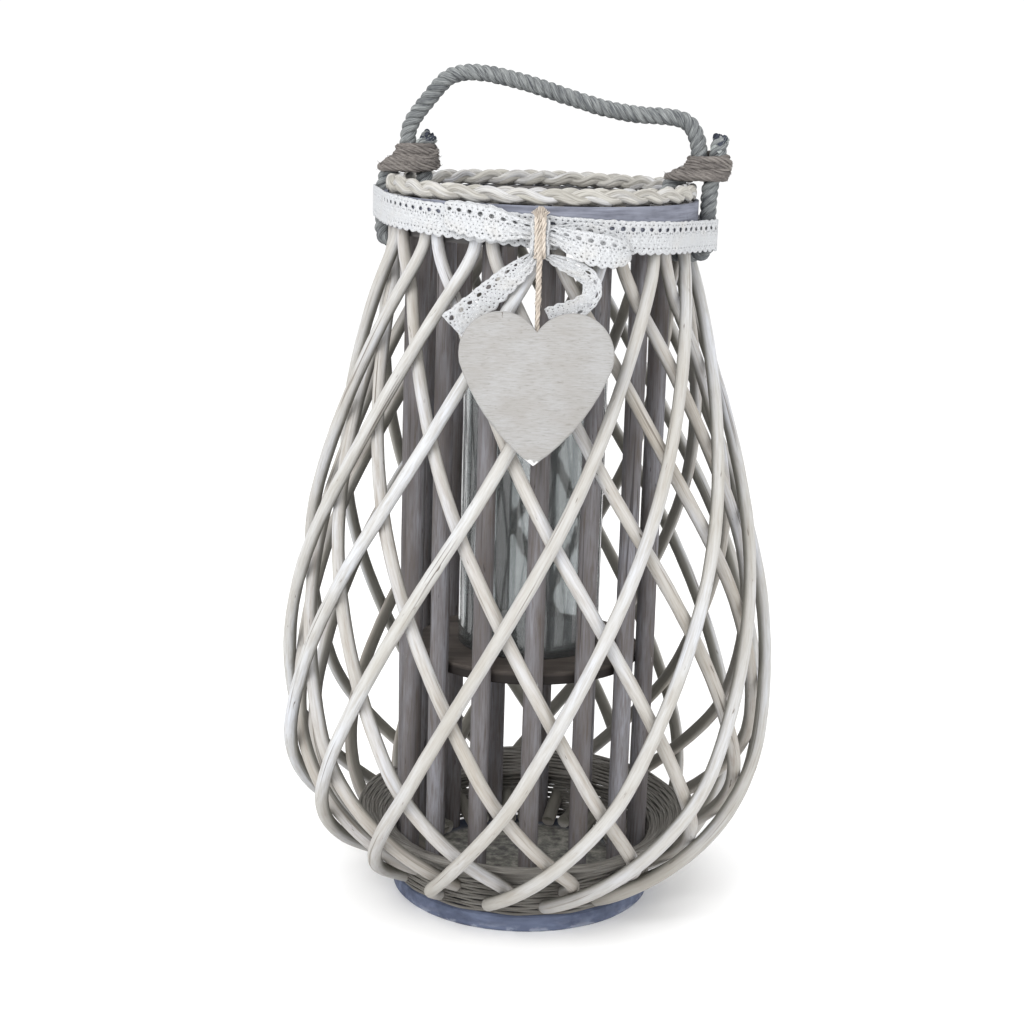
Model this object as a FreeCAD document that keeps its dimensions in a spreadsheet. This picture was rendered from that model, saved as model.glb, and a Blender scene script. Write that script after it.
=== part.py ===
import FreeCAD, Part
import math
import os

import Sketcher
from FreeCAD import Placement, Rotation, Vector

# Willow hurricane lantern: a pear of crossed willow rods round a cage of upright posts, on a round
# wooden plate. A shelf inside carries a glass cylinder. A veneer hoop, a plaited rim, a rope handle,
# a lace bow and a hanging wooden heart finish the top.
# Millimetres, +Z up, the origin under the middle of the plate, the heart towards -Y.
# An angle round the lantern starts at the front (-Y) and grows towards the right (+X).

SIZES = {
    # base plate
    "plate_rim": 7.5,
    "plate_thickness": 12,
    "plate_chamfer": 1.5,
    # posts and rod pairs stand in this many places round the circle
    "pair_count": 15,
    "first_pair_angle": 3.2,
    "post_diameter": 13,
    "post_ring_radius": 83.5,
    "post_top": 485,
    # willow rods, in an outer and an inner layer
    "rod_diameter": 9,
    "rod_clearance": 0.3,
    "pair_gap": 1,
    "belly_radius": 167,
    "shoulder_arc_radius": 570,
    "bowl_arc_radius": 127,
    "neck_bend_radius": 40,
    "foot_bend_radius": 16,
    "outer_tail_inset": 0.9,
    "outer_tail_length": 8.6,
    "inner_tail_inset": 14.5,
    "inner_tail_lift": 0.4,
    "twist_steps": 5,
    "twist_ramp": 40,
    "bowl_sweep": 1.3,
    # veneer hoops and plaited rim at the mouth
    "hoop_bottom": 466,
    "hoop_height": 20.5,
    "hoop_thickness": 2.5,
    "inner_hoop_thickness": 2.5,
    "inner_hoop_drop": 6,
    "hoop_seat_gap": 0.1,
    "rim_diameter": 10.4,
    # woven ring in the bottom of the bowl
    "weave_width": 26.6,
    "weave_edge": 5.4,
    "weave_dish": 12,
    "weave_clearance": 0.4,
    # shelf and glass
    "shelf_top": 179,
    "shelf_thickness": 8.6,
    "shelf_clearance": 0.3,
    "shelf_chamfer": 0.8,
    "glass_diameter": 97,
    "glass_wall": 3,
    "glass_base": 5,
    "glass_height": 190,
    "glass_chamfer": 0.6,
    # rope handle, its two eyes and the cord that binds them
    "rope_diameter": 11.2,
    "eye_right_steps": 3.5,
    "eye_left_steps": -4.5,
    "eye_slack": 2.6,
    "eye_rest_gap": 0.9,
    "leg_gap": 0.6,
    "leg_lean_height": 11,
    "left_eye_shift": -9,
    "right_eye_shift": 12,
    "binding_diameter": 3.4,
    "binding_pitch": 3.9,
    "binding_turns": 2,
    "binding_clearance": 0.6,
    "pivot_rise": 2,
    "pivot_cut": 5,
    "handle_clearance": 0.3,
    "tail_rise": 8.5,
    "tail_lean": 5,
    # lace ribbon and bow
    "lace_thickness": 1.2,
    "lace_width": 21,
    "lace_gap": 0.2,
    "lace_height": 471,
    "lace_tilt": 3.4,
    "knot_width": 14,
    "knot_depth": 9,
    "knot_height": 20,
    "knot_middle": 468,
    "knot_rounding": 3.5,
    "bow_width": 20.4,
    "bow_rise": 3.5,
    "bow_left_tilt": 6.75,
    "bow_right_tilt": 13.1,
    "tail_out": 4.2,
    "tail_end_out": 10.4,
    # jute twine and wooden heart
    "twine_diameter": 3.5,
    "twine_clearance": 0.3,
    "twine_overlap": 11,
    "heart_width": 95.5,
    "heart_height": 94,
    "heart_thickness": 6,
    "heart_lobe_radius": 25.75,
    "heart_side_radius": 130,
    "heart_rounding": 1.2,
    "heart_clearance": 0.4,
    "heart_notch_height": 411,
    "staple_wire": 1.2,
    "staple_gap": 0.7,
    "staple_depth": 3,
    "staple_below_notch": 8,
    # nails
    "nail_shank": 2.4,
    "nail_head": 6,
    "nail_head_height": 1.2,
    "nail_clearance": 0.1,
    "base_nail_length": 38,
    "shelf_nail_length": 28,
    "shelf_nail_every": 3,
}

doc = FreeCAD.newDocument("willow_lantern")
sheet = doc.addObject("Spreadsheet::Sheet", "Sizes")
for row, (name, value) in enumerate(SIZES.items(), start=1):
    sheet.set(f"A{row}", name)
    sheet.set(f"B{row}", str(value))
    sheet.setAlias(f"B{row}", name)
doc.recompute()

UP = Vector(0, 0, 1)
MIDDLE = Vector(0, 0, 0)
pieces = []


def size(name):
    return float(sheet.get(name))


def total(terms):
    """The sum of sheet values, each times its factor."""
    return sum(factor * size(name) for name, factor in terms.items())


def formula(terms):
    """The same sum as text, for binding a property to the sheet."""
    if not terms:
        return "0"
    return " + ".join(f"{factor} * Sizes.{name}" for name, factor in terms.items())


def keep(piece, label):
    """Name a finished sub-part."""
    piece.Label = label
    pieces.append(piece)
    return piece


def add_shape(name, shape):
    """An object whose shape is worked out here from the sheet's values."""
    feature = doc.addObject("Part::Feature", name)
    feature.Shape = shape
    return feature


def around(radius, angle, height):
    """The point at a radius, an angle from the front (degrees) and a height."""
    turn = math.radians(angle)
    return Vector(radius * math.sin(turn), -radius * math.cos(turn), height)


def turned(shape, angle):
    """A copy of a shape turned round the lantern's axis."""
    copy = shape.copy()
    copy.rotate(MIDDLE, UP, angle)
    return copy


# Places that several pieces share

pair_count = int(size("pair_count"))
pair_pitch = 360.0 / pair_count
first_angle = size("first_pair_angle")
pair_angles = [first_angle + index * pair_pitch for index in range(pair_count)]
eye_angles = {
    "left": first_angle + size("eye_left_steps") * pair_pitch,
    "right": first_angle + size("eye_right_steps") * pair_pitch,
}

plate_top = size("plate_thickness")
rod_radius = size("rod_diameter") / 2
layer_step = size("rod_diameter") + size("rod_clearance")
post_radius = size("post_diameter") / 2
post_outside = size("post_ring_radius") + post_radius
hoop_top = size("hoop_bottom") + size("hoop_height")
inner_hoop_inside = post_outside + size("hoop_seat_gap")
inner_hoop_outside = inner_hoop_inside + size("inner_hoop_thickness")
inner_hoop_bottom = size("hoop_bottom") - size("inner_hoop_drop")
rod_top_radius = inner_hoop_outside + size("hoop_seat_gap") + rod_radius
hoop_inside = rod_top_radius + rod_radius + size("hoop_seat_gap")
hoop_outside = hoop_inside + size("hoop_thickness")
rim_radius = size("rim_diameter") / 2
rim_ring_radius = (inner_hoop_inside + hoop_outside) / 2


# Curves made of arcs that meet smoothly, and tubes along them

def arc_or_line(start, corner, end):
    """The arc from start to end whose end tangents meet at the corner."""
    chord = end - start
    if (corner - start).cross(chord).Length < 1e-6 * chord.Length ** 2:
        return Part.LineSegment(start, end).toShape()
    weight = chord.Length / 2 / (corner - start).Length
    top = ((start + end) * 0.5 + corner * weight) * (1 / (1 + weight))
    return Part.Arc(start, top, end).toShape()


def biarc_edges(points, tangents):
    """Two tangent arcs between each point and the next, along the given directions."""
    edges = []
    for start, end, leave, arrive in zip(points, points[1:], tangents, tangents[1:]):
        span = end - start
        bend = 2 * (1 - leave.dot(arrive))
        along = span.dot(leave + arrive)
        if bend < 1e-9:
            reach = span.dot(span) / (2 * along)
        else:
            reach = (math.sqrt(along ** 2 + bend * span.dot(span)) - along) / bend
        joint = (start + end + (leave - arrive) * reach) * 0.5
        edges.append(arc_or_line(start, start + leave * reach, joint))
        edges.append(arc_or_line(joint, end - arrive * reach, end))
    return edges


def tube(edges, radius, label):
    """A round tube along tangent edges, its volume tested against section times length."""
    path = Part.Wire(edges)
    first = edges[0]
    start = first.valueAt(first.FirstParameter)
    direction = first.tangentAt(first.FirstParameter)
    section = Part.Wire(Part.Circle(start, direction, radius).toShape())
    solid = path.makePipeShell([section], True, False)
    expected = math.pi * radius ** 2 * path.Length
    if abs(solid.Volume / expected - 1) > 0.01:
        raise ValueError(f"{label}: volume {solid.Volume:.0f}, expected {expected:.0f}")
    return solid


CORNER_SHARE = 0.45


def rounded_route(points, label):
    """Straight runs joined by arcs as large as the runs allow. Prints the radii and the length."""
    edges = []
    radii = []
    here = points[0]
    for before, corner, after in zip(points, points[1:], points[2:]):
        arriving = (corner - before).normalize()
        leaving = (after - corner).normalize()
        half_turn = arriving.getAngle(leaving) / 2
        setback = CORNER_SHARE * min((corner - before).Length, (after - corner).Length)
        radii.append(setback / math.tan(half_turn))
        arc_start = corner - arriving * setback
        arc_end = corner + leaving * setback
        edges.append(Part.LineSegment(here, arc_start).toShape())
        edges.append(arc_or_line(arc_start, corner, arc_end))
        here = arc_end
    edges.append(Part.LineSegment(here, points[-1]).toShape())
    length = sum(edge.Length for edge in edges)
    print(label, "arc radii", [round(radius, 1) for radius in radii], "length", round(length, 1))
    return edges


# Nails and the holes they sit in

def nail(length, extra=0.0, open_length=0.0):
    """A nail from its head's top at the origin along +Z. Extra radius and an open mouth make a hole."""
    head_height = size("nail_head_height") + extra
    head = Part.makeCylinder(size("nail_head") / 2 + extra, head_height + open_length,
                             Vector(0, 0, -open_length))
    shank = Part.makeCylinder(size("nail_shank") / 2 + extra, length + extra)
    return head.fuse(shank).removeSplitter()


def radial(shape, angle, start_radius, height):
    """A shape along +Z turned to point at the lantern's axis from a start radius."""
    copy = shape.copy()
    start = around(start_radius, angle, height)
    inward = Vector(-start.x, -start.y, 0)
    copy.Placement = Placement(start, Rotation(UP, inward))
    return copy


nail_gap = size("nail_clearance")
base_nail = nail(size("base_nail_length"))
base_hole = nail(size("base_nail_length"), nail_gap, 1)
base_spots = [around(size("post_ring_radius"), angle, 0) for angle in pair_angles]
base_holes = [base_hole.translated(spot) for spot in base_spots]

shelf_middle = size("shelf_top") - size("shelf_thickness") / 2
shelf_nail_start = post_outside - size("nail_head_height") / 2
shelf_nail_angles = pair_angles[::int(size("shelf_nail_every"))]
shelf_nail = nail(size("shelf_nail_length"))
shelf_hole = nail(size("shelf_nail_length"), nail_gap, post_radius)
shelf_holes = [radial(shelf_hole, angle, shelf_nail_start, shelf_middle) for angle in shelf_nail_angles]

hoop_middle = size("hoop_bottom") + size("hoop_height") / 2
hoop_nail_start = hoop_outside - nail_gap
hoop_nail_angles = []
for angle in pair_angles:
    gap_angle = angle + pair_pitch / 2
    turns_away = [abs((gap_angle - eye + 180) % 360 - 180) for eye in eye_angles.values()]
    if min(turns_away) > pair_pitch / 4:
        hoop_nail_angles.append(gap_angle)
hoop_nail_length = hoop_nail_start - inner_hoop_inside - nail_gap
hoop_nail = nail(hoop_nail_length)
hoop_hole = nail(hoop_nail_length + 1, nail_gap, 1)
hoop_holes = [radial(hoop_hole, angle, hoop_nail_start, hoop_middle) for angle in hoop_nail_angles]

keep(add_shape("Base_nails", Part.makeCompound([base_nail.translated(spot) for spot in base_spots])),
     "base_nails")
keep(add_shape("Shelf_nails", Part.makeCompound(
    [radial(shelf_nail, angle, shelf_nail_start, shelf_middle) for angle in shelf_nail_angles])),
    "shelf_nails")
keep(add_shape("Hoop_nails", Part.makeCompound(
    [radial(hoop_nail, angle, hoop_nail_start, hoop_middle) for angle in hoop_nail_angles])),
    "hoop_nails")
base_holes_tool = add_shape("Base_holes", Part.makeCompound(base_holes))
shelf_holes_tool = add_shape("Shelf_holes", Part.makeCompound(shelf_holes))
hoop_holes_tool = add_shape("Hoop_holes", Part.makeCompound(hoop_holes))


# Plate, shelf and glass: profiles turned round the axis, bound to the sheet

def turned_body(name, corners):
    """A PartDesign body turned from corners, each a pair of sums (radius, height)."""
    body = doc.addObject("PartDesign::Body", name)
    sketch = body.newObject("Sketcher::SketchObject", name + "_profile")
    plane = next(part for part in body.Origin.OriginFeatures if part.Role == "XZ_Plane")
    sketch.AttachmentSupport = [(plane, "")]
    sketch.MapMode = "FlatFace"
    spots = [Vector(total(radius), total(height), 0) for radius, height in corners]
    count = len(spots)
    for index, spot in enumerate(spots):
        sketch.addGeometry(Part.LineSegment(spot, spots[(index + 1) % count]), False)
    for index in range(count):
        sketch.addConstraint(Sketcher.Constraint("Coincident", index, 2, (index + 1) % count, 1))
    for index, (radius, height) in enumerate(corners):
        for kind, terms, axis in (("DistanceX", radius, -2), ("DistanceY", height, -1)):
            if not terms:
                sketch.addConstraint(Sketcher.Constraint("PointOnObject", index, 1, axis))
                continue
            place = sketch.addConstraint(Sketcher.Constraint(kind, -1, 1, index, 1, total(terms)))
            sketch.setExpression(f"Constraints[{place}]", formula(terms))
    solid = body.newObject("PartDesign::Revolution", name + "_turned")
    solid.Profile = sketch
    solid.ReferenceAxis = (sketch, ["V_Axis"])
    solid.Angle = 360
    body.Tip = solid
    return body


def cut_from(name, base, tool):
    """The base object with the tool object taken away."""
    cut = doc.addObject("Part::Cut", name)
    cut.Base = base
    cut.Tool = tool
    return cut


plate_edge = {"post_ring_radius": 1, "plate_rim": 1}
plate_inset = {**plate_edge, "plate_chamfer": -1}
plate_upper = {"plate_thickness": 1, "plate_chamfer": -1}
plate_body = turned_body("Plate", [
    ({}, {}),
    (plate_inset, {}),
    (plate_edge, {"plate_chamfer": 1}),
    (plate_edge, plate_upper),
    (plate_inset, {"plate_thickness": 1}),
    ({}, {"plate_thickness": 1}),
])
keep(cut_from("Plate_drilled", plate_body, base_holes_tool), "base_plate")

shelf_edge = {"post_ring_radius": 1, "post_diameter": -0.5, "shelf_clearance": -1}
shelf_inset = {**shelf_edge, "shelf_chamfer": -1}
shelf_lower = {"shelf_top": 1, "shelf_thickness": -1}
shelf_body = turned_body("Shelf", [
    ({}, shelf_lower),
    (shelf_inset, shelf_lower),
    (shelf_edge, {**shelf_lower, "shelf_chamfer": 1}),
    (shelf_edge, {"shelf_top": 1, "shelf_chamfer": -1}),
    (shelf_inset, {"shelf_top": 1}),
    ({}, {"shelf_top": 1}),
])
keep(cut_from("Shelf_drilled", shelf_body, shelf_holes_tool), "candle_shelf")

glass_outer = {"glass_diameter": 0.5}
glass_outer_inset = {"glass_diameter": 0.5, "glass_chamfer": -1}
glass_inner = {"glass_diameter": 0.5, "glass_wall": -1}
glass_top = {"shelf_top": 1, "glass_height": 1}
glass_floor = {"shelf_top": 1, "glass_base": 1}
keep(turned_body("Glass", [
    ({}, {"shelf_top": 1}),
    (glass_outer_inset, {"shelf_top": 1}),
    (glass_outer, {"shelf_top": 1, "glass_chamfer": 1}),
    (glass_outer, {**glass_top, "glass_chamfer": -1}),
    (glass_outer_inset, glass_top),
    (glass_inner, glass_top),
    (glass_inner, glass_floor),
    ({}, glass_floor),
]), "glass_cylinder")


# Veneer hoops and plaited rim, bound to the sheet

def ring(name, inside, outside, bottom, height):
    """A plain ring, each size a sum of sheet values."""
    walls = []
    for wall_name, wall in (("outside", outside), ("inside", inside)):
        cylinder = doc.addObject("Part::Cylinder", f"{name}_{wall_name}")
        cylinder.setExpression("Radius", formula(wall))
        cylinder.setExpression("Height", formula(height))
        cylinder.setExpression(".Placement.Base.z", formula(bottom))
        walls.append(cylinder)
    return cut_from(name, walls[0], walls[1])


post_face = {"post_ring_radius": 1, "post_diameter": 0.5}
inner_hoop_face = {**post_face, "hoop_seat_gap": 1}
inner_hoop_back = {**inner_hoop_face, "inner_hoop_thickness": 1}
hoop_face = {**inner_hoop_back, "hoop_seat_gap": 3, "rod_diameter": 1}
hoop_back = {**hoop_face, "hoop_thickness": 1}
inner_hoop_ring = ring("Inner_hoop", inner_hoop_face, inner_hoop_back,
                       {"hoop_bottom": 1, "inner_hoop_drop": -1},
                       {"hoop_height": 1, "inner_hoop_drop": 1})
hoop_ring = ring("Hoop", hoop_face, hoop_back, {"hoop_bottom": 1}, {"hoop_height": 1})
keep(cut_from("Inner_hoop_drilled", inner_hoop_ring, hoop_holes_tool), "inner_hoop")
keep(cut_from("Hoop_drilled", hoop_ring, hoop_holes_tool), "hoop_band")

rim = doc.addObject("Part::Torus", "Rim")
rim.setExpression("Radius1", formula({
    "post_ring_radius": 1, "post_diameter": 0.5, "hoop_seat_gap": 2, "inner_hoop_thickness": 0.5,
    "rod_diameter": 0.5, "hoop_thickness": 0.5}))
rim.setExpression("Radius2", formula({"rim_diameter": 0.5}))
rim.setExpression(".Placement.Base.z", formula({"hoop_bottom": 1, "hoop_height": 1, "rim_diameter": 0.5}))
keep(rim, "plaited_rim")


# Upright posts, drilled for the nails

posts = []
for angle in pair_angles:
    spot = around(size("post_ring_radius"), angle, plate_top)
    post = Part.makeCylinder(post_radius, size("post_top") - plate_top, spot)
    holes = [base_hole.translated(around(size("post_ring_radius"), angle, 0))]
    if angle in shelf_nail_angles:
        holes.append(radial(shelf_hole, angle, shelf_nail_start, shelf_middle))
    posts.append(post.cut(holes))
keep(add_shape("Posts", Part.makeCompound(posts)), "cage_posts")


# Willow rods
# Seen from the side a layer runs down inside the hoop, bends out into a cone, rounds the belly and the
# bowl, and goes in over the plate. The rods wind round that shape at a nearly steady slant.

foot_bend = size("foot_bend_radius")
foot_height = plate_top + rod_radius + foot_bend
outer_tail_start = size("post_ring_radius") - size("outer_tail_inset")
inner_tail_end = size("post_ring_radius") - size("inner_tail_inset")
inner_tail_height = plate_top + rod_radius + size("inner_tail_lift")
shoulder_centre = size("belly_radius") - size("shoulder_arc_radius")
bowl_centre = size("belly_radius") - size("bowl_arc_radius")
belly_height = foot_height + math.sqrt((size("bowl_arc_radius") - foot_bend) ** 2
                                       - (outer_tail_start - bowl_centre) ** 2)
neck_bend = size("neck_bend_radius")
neck_reach = rod_top_radius + neck_bend - shoulder_centre
neck_rise = size("hoop_bottom") - belly_height
cone_slope = (math.atan2(neck_rise, neck_reach)
              - math.acos((size("shoulder_arc_radius") + neck_bend) / math.hypot(neck_reach, neck_rise)))


def side_pieces(inward):
    """A layer's side view from the top down: (length, bend) pairs, bend in radians per mm.

    The layer lies this far inward of the outer one. A positive bend turns the way down outwards."""
    shoulder = size("shoulder_arc_radius") - inward
    bowl = size("bowl_arc_radius") - inward
    bend_rise = (shoulder + neck_bend - neck_reach * math.cos(cone_slope)) / math.sin(cone_slope)
    bend_height = belly_height + bend_rise
    cone_top = bend_height - neck_bend * math.sin(cone_slope)
    cone_bottom = belly_height + shoulder * math.sin(cone_slope)
    runs = [
        (hoop_top - bend_height, 0),
        (neck_bend * cone_slope, 1 / neck_bend),
        ((cone_top - cone_bottom) / math.cos(cone_slope), 0),
        (shoulder * cone_slope, -1 / shoulder),
    ]
    if inward:
        end_across = inner_tail_end - bowl_centre
        end_down = belly_height - inner_tail_height
        end_away = math.hypot(end_across, end_down)
        bowl_turn = math.atan2(end_down, end_across) - math.acos(bowl / end_away)
        runs.append((bowl * bowl_turn, -1 / bowl))
        runs.append((math.sqrt(end_away ** 2 - bowl ** 2), 0))
    else:
        bowl_turn = math.acos((outer_tail_start - bowl_centre) / (bowl - foot_bend))
        runs.append((bowl * bowl_turn, -1 / bowl))
        runs.append((foot_bend * (math.pi / 2 - bowl_turn), -1 / foot_bend))
        runs.append((size("outer_tail_length"), 0))
    return runs


def side_at(runs, distance):
    """Radius, height and direction from straight down (outwards positive) at a distance from the top."""
    radius, height, lean = rod_top_radius, hoop_top, 0.0
    for length, bend in runs:
        step = min(distance, length)
        if bend:
            end = lean + step * bend
            radius += (math.cos(lean) - math.cos(end)) / bend
            height -= (math.sin(end) - math.sin(lean)) / bend
            lean = end
        else:
            radius += step * math.sin(lean)
            height -= step * math.cos(lean)
        distance -= step
        if distance <= 0:
            break
    return radius, height, lean


def ease(share):
    """A smooth step from 0 to 1."""
    share = min(max(share, 0.0), 1.0)
    return share * share * (3 - 2 * share)


ROD_STEPS = 900
ROD_SPANS = 11


def rod_edges(runs, way):
    """The arcs of one rod that starts at angle 0, and the slant of its main run in degrees."""
    whole = sum(length for length, _ in runs)
    belly_at = sum(length for length, _ in runs[:4])
    tail_at = whole - runs[-1][0]
    straight = size("hoop_height")
    ramp = size("twist_ramp")

    def weight(distance):
        """How strongly the rod turns round the lantern at a distance from its top."""
        start = ease((distance - straight) / ramp)
        sweep = 1 + (size("bowl_sweep") - 1) * ease((distance - belly_at) / ramp)
        return start * sweep * ease((tail_at - distance) / ramp)

    step = whole / ROD_STEPS
    angles = [0.0]
    for index in range(ROD_STEPS):
        middle = (index + 0.5) * step
        angles.append(angles[-1] + weight(middle) / side_at(runs, middle)[0] * step)
    strength = way * math.radians(rod_twist) / angles[-1]

    stops = [0.0]
    for index in range(ROD_SPANS + 1):
        stops.append(straight + (tail_at - straight) * index / ROD_SPANS)
    stops.append(whole)
    points = []
    tangents = []
    for distance in stops:
        radius, height, lean = side_at(runs, distance)
        place = min(int(distance / step), ROD_STEPS - 1)
        share = distance / step - place
        turn = strength * (angles[place] * (1 - share) + angles[place + 1] * share)
        outward = Vector(math.sin(turn), -math.cos(turn), 0)
        sideways = Vector(math.cos(turn), math.sin(turn), 0)
        points.append(outward * radius + UP * height)
        tangents.append((outward * math.sin(lean) - UP * math.cos(lean)
                         + sideways * (strength * weight(distance))).normalize())
    return biarc_edges(points, tangents), math.degrees(math.atan(abs(strength)))


pair_half_angle = math.degrees(math.asin((size("rod_diameter") + size("pair_gap")) / 2 / rod_top_radius))
tail_room = post_radius + rod_radius + size("rod_clearance")
tail_half_angle = pair_pitch / 2 - math.degrees(math.asin(tail_room / size("post_ring_radius")))
rod_twist = (size("twist_steps") - 0.5) * pair_pitch + tail_half_angle - pair_half_angle

for layer, inward, way in (("outer", 0, -1), ("inner", layer_step, 1)):
    edges, slant = rod_edges(side_pieces(inward), way)
    rod = tube(edges, rod_radius, layer + " rod")
    print(layer, "rod: slant", round(slant, 1), "length", round(Part.Wire(edges).Length, 1))
    for index, angle in enumerate(pair_angles, start=1):
        label = f"{layer}_rod_{index:02d}"
        keep(add_shape(label.capitalize(), turned(rod, angle + way * pair_half_angle)), label)


def lattice_outside(height):
    """The radius of the outer rods' outside at a height on the cone."""
    bend_end_radius = rod_top_radius + neck_bend * (1 - math.cos(cone_slope))
    bend_end_height = size("hoop_bottom") - neck_bend * math.sin(cone_slope)
    middle = bend_end_radius + (bend_end_height - height) * math.tan(cone_slope)
    return middle + rod_radius / math.cos(cone_slope)


# Woven ring that lies in the bowl on the inner rods

def bowl_floor(radius):
    """The height of the inner rods' inside in the bowl, with its clearance."""
    inside = size("bowl_arc_radius") - layer_step - rod_radius - size("weave_clearance")
    return belly_height - math.sqrt(inside ** 2 - (radius - bowl_centre) ** 2)


weave_inner = post_outside + size("weave_clearance")
weave_outer = weave_inner + size("weave_width")
weave_top = bowl_floor(weave_outer) + size("weave_edge")
weave_corners = [
    Vector(weave_outer, 0, bowl_floor(weave_outer)),
    Vector(weave_outer, 0, weave_top),
    Vector(weave_inner, 0, weave_top - size("weave_dish")),
    Vector(weave_inner, 0, bowl_floor(weave_inner)),
]
weave_face = Part.Face(Part.makePolygon(weave_corners + weave_corners[:1]))
keep(add_shape("Weave", weave_face.revolve(MIDDLE, UP, 360)), "tray_weave")


# Rope eyes: each rope end goes down outside the hoops, under them and up inside, and both legs are
# bound together above the rim. One leg carries the handle, the other ends in a cut tail.

rope_radius = size("rope_diameter") / 2
inside_leg = inner_hoop_inside - rope_radius - size("eye_slack")
outside_leg = hoop_outside + rope_radius + size("eye_rest_gap")
eye_turn_radius = (outside_leg - inside_leg) / 2
eye_middle = (outside_leg + inside_leg) / 2
corner_away = max(eye_middle - inner_hoop_inside, 0)
eye_inside = eye_turn_radius - rope_radius - size("handle_clearance")
eye_height = inner_hoop_bottom + math.sqrt(eye_inside ** 2 - corner_away ** 2)
half_spacing = rope_radius + size("leg_gap") / 2
lean_start = hoop_top + size("rim_diameter")
lean_end = lean_start + size("leg_lean_height")
binding_bottom = lean_end + size("binding_diameter") / 2 + size("binding_clearance")
binding_top = binding_bottom + size("binding_pitch") * size("binding_turns")
pivot_height = binding_top + size("binding_diameter") / 2 + size("pivot_rise")
leg_top = pivot_height - size("pivot_cut")
tail_base = binding_top + size("binding_diameter")
bound_at = {side: rim_ring_radius + size(f"{side}_eye_shift") for side in eye_angles}


def eye_wire(side):
    """The edges of one eye, from the top of its carrying leg round to the tip of its tail."""
    angle = eye_angles[side]
    carries_outside = side == "left"
    outside_top = bound_at[side] + half_spacing
    inside_top = bound_at[side] - half_spacing
    legs = {
        True: (outside_top, outside_leg, size("tail_lean")),
        False: (inside_top, inside_leg, -size("tail_lean")),
    }
    carry_top, carry_low, _ = legs[carries_outside]
    tail_top, tail_low, tail_lean = legs[not carries_outside]
    down = [around(carry_top, angle, leg_top), around(carry_top, angle, lean_end),
            around(carry_low, angle, lean_start), around(carry_low, angle, eye_height)]
    up = [around(tail_low, angle, eye_height), around(tail_low, angle, lean_start),
          around(tail_top, angle, lean_end), around(tail_top, angle, tail_base),
          around(tail_top + tail_lean, angle, tail_base + size("tail_rise"))]
    lowest = around(eye_middle, angle, eye_height - eye_turn_radius)
    turn = Part.Arc(down[-1], lowest, up[0]).toShape()
    return rounded_route(down, "eye, carrying leg") + [turn] + rounded_route(up, "eye, tail leg")


carry_radius = {
    "left": bound_at["left"] + half_spacing,
    "right": bound_at["right"] - half_spacing,
}
pivots = {side: around(carry_radius[side], eye_angles[side], pivot_height) for side in eye_angles}
for side in eye_angles:
    eye = tube(eye_wire(side), rope_radius, "rope eye")
    cup = Part.makeSphere(rope_radius + size("handle_clearance"), pivots[side])
    keep(add_shape(f"Eye_{side}", eye.cut(cup)), f"rope_eye_{side}")


# Cord bound round both legs of each eye: turns of quarter-turn arcs with short straight ends

binding_radius = size("binding_diameter") / 2
binding_ring = half_spacing + rope_radius + size("binding_clearance") + binding_radius
QUARTERS = 4


def binding(axis):
    """One unbroken winding of the cord round a vertical axis."""
    points = []
    tangents = []
    quarter_count = int(QUARTERS * size("binding_turns"))
    climb = size("binding_pitch") / (2 * math.pi)
    for quarter in range(quarter_count + 1):
        turn = quarter * math.pi / 2
        points.append(axis + Vector(binding_ring * math.cos(turn), binding_ring * math.sin(turn),
                                    climb * turn))
        tangents.append(Vector(-binding_ring * math.sin(turn), binding_ring * math.cos(turn),
                               climb).normalize())
    edges = biarc_edges(points, tangents)
    run = size("binding_diameter")
    first = Part.LineSegment(points[0] - tangents[0] * run, points[0]).toShape()
    last = Part.LineSegment(points[-1], points[-1] + tangents[-1] * run).toShape()
    return tube([first] + edges + [last], binding_radius, "binding")


for side, angle in eye_angles.items():
    axis = around(bound_at[side], angle, binding_bottom)
    keep(add_shape(f"Binding_{side}", binding(axis)), f"seizing_{side}")
print("binding: gap between turns", round(size("binding_pitch") - size("binding_diameter"), 2))


# Rope handle: shares of the way from the left pivot to the right one, with the rise above them

HANDLE_ROUTE = [(-0.008, 14.5), (0.052, 26.5), (0.123, 37.5), (0.215, 43.5), (0.326, 41), (0.443, 34.5),
                (0.56, 27.5), (0.682, 23), (0.789, 21.5), (0.886, 21), (0.97, 16.5)]
handle_span = pivots["right"] - pivots["left"]
handle_span.z = 0
handle_points = [pivots["left"]]
for share, rise in HANDLE_ROUTE:
    handle_points.append(pivots["left"] + handle_span * share + UP * rise)
handle_points.append(pivots["right"])
handle = tube(rounded_route(handle_points, "handle"), rope_radius, "handle")
handle_ends = [Part.makeSphere(rope_radius, pivots[side]) for side in ("left", "right")]
keep(add_shape("Handle", handle.fuse(handle_ends)), "handle_rope")
print("handle pivots", [tuple(round(x, 3) for x in pivots[side]) for side in ("left", "right")])


# Lace ribbon: a belt pulled round the hoop and over the two outside rope legs, cut to a tilted strip

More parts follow.
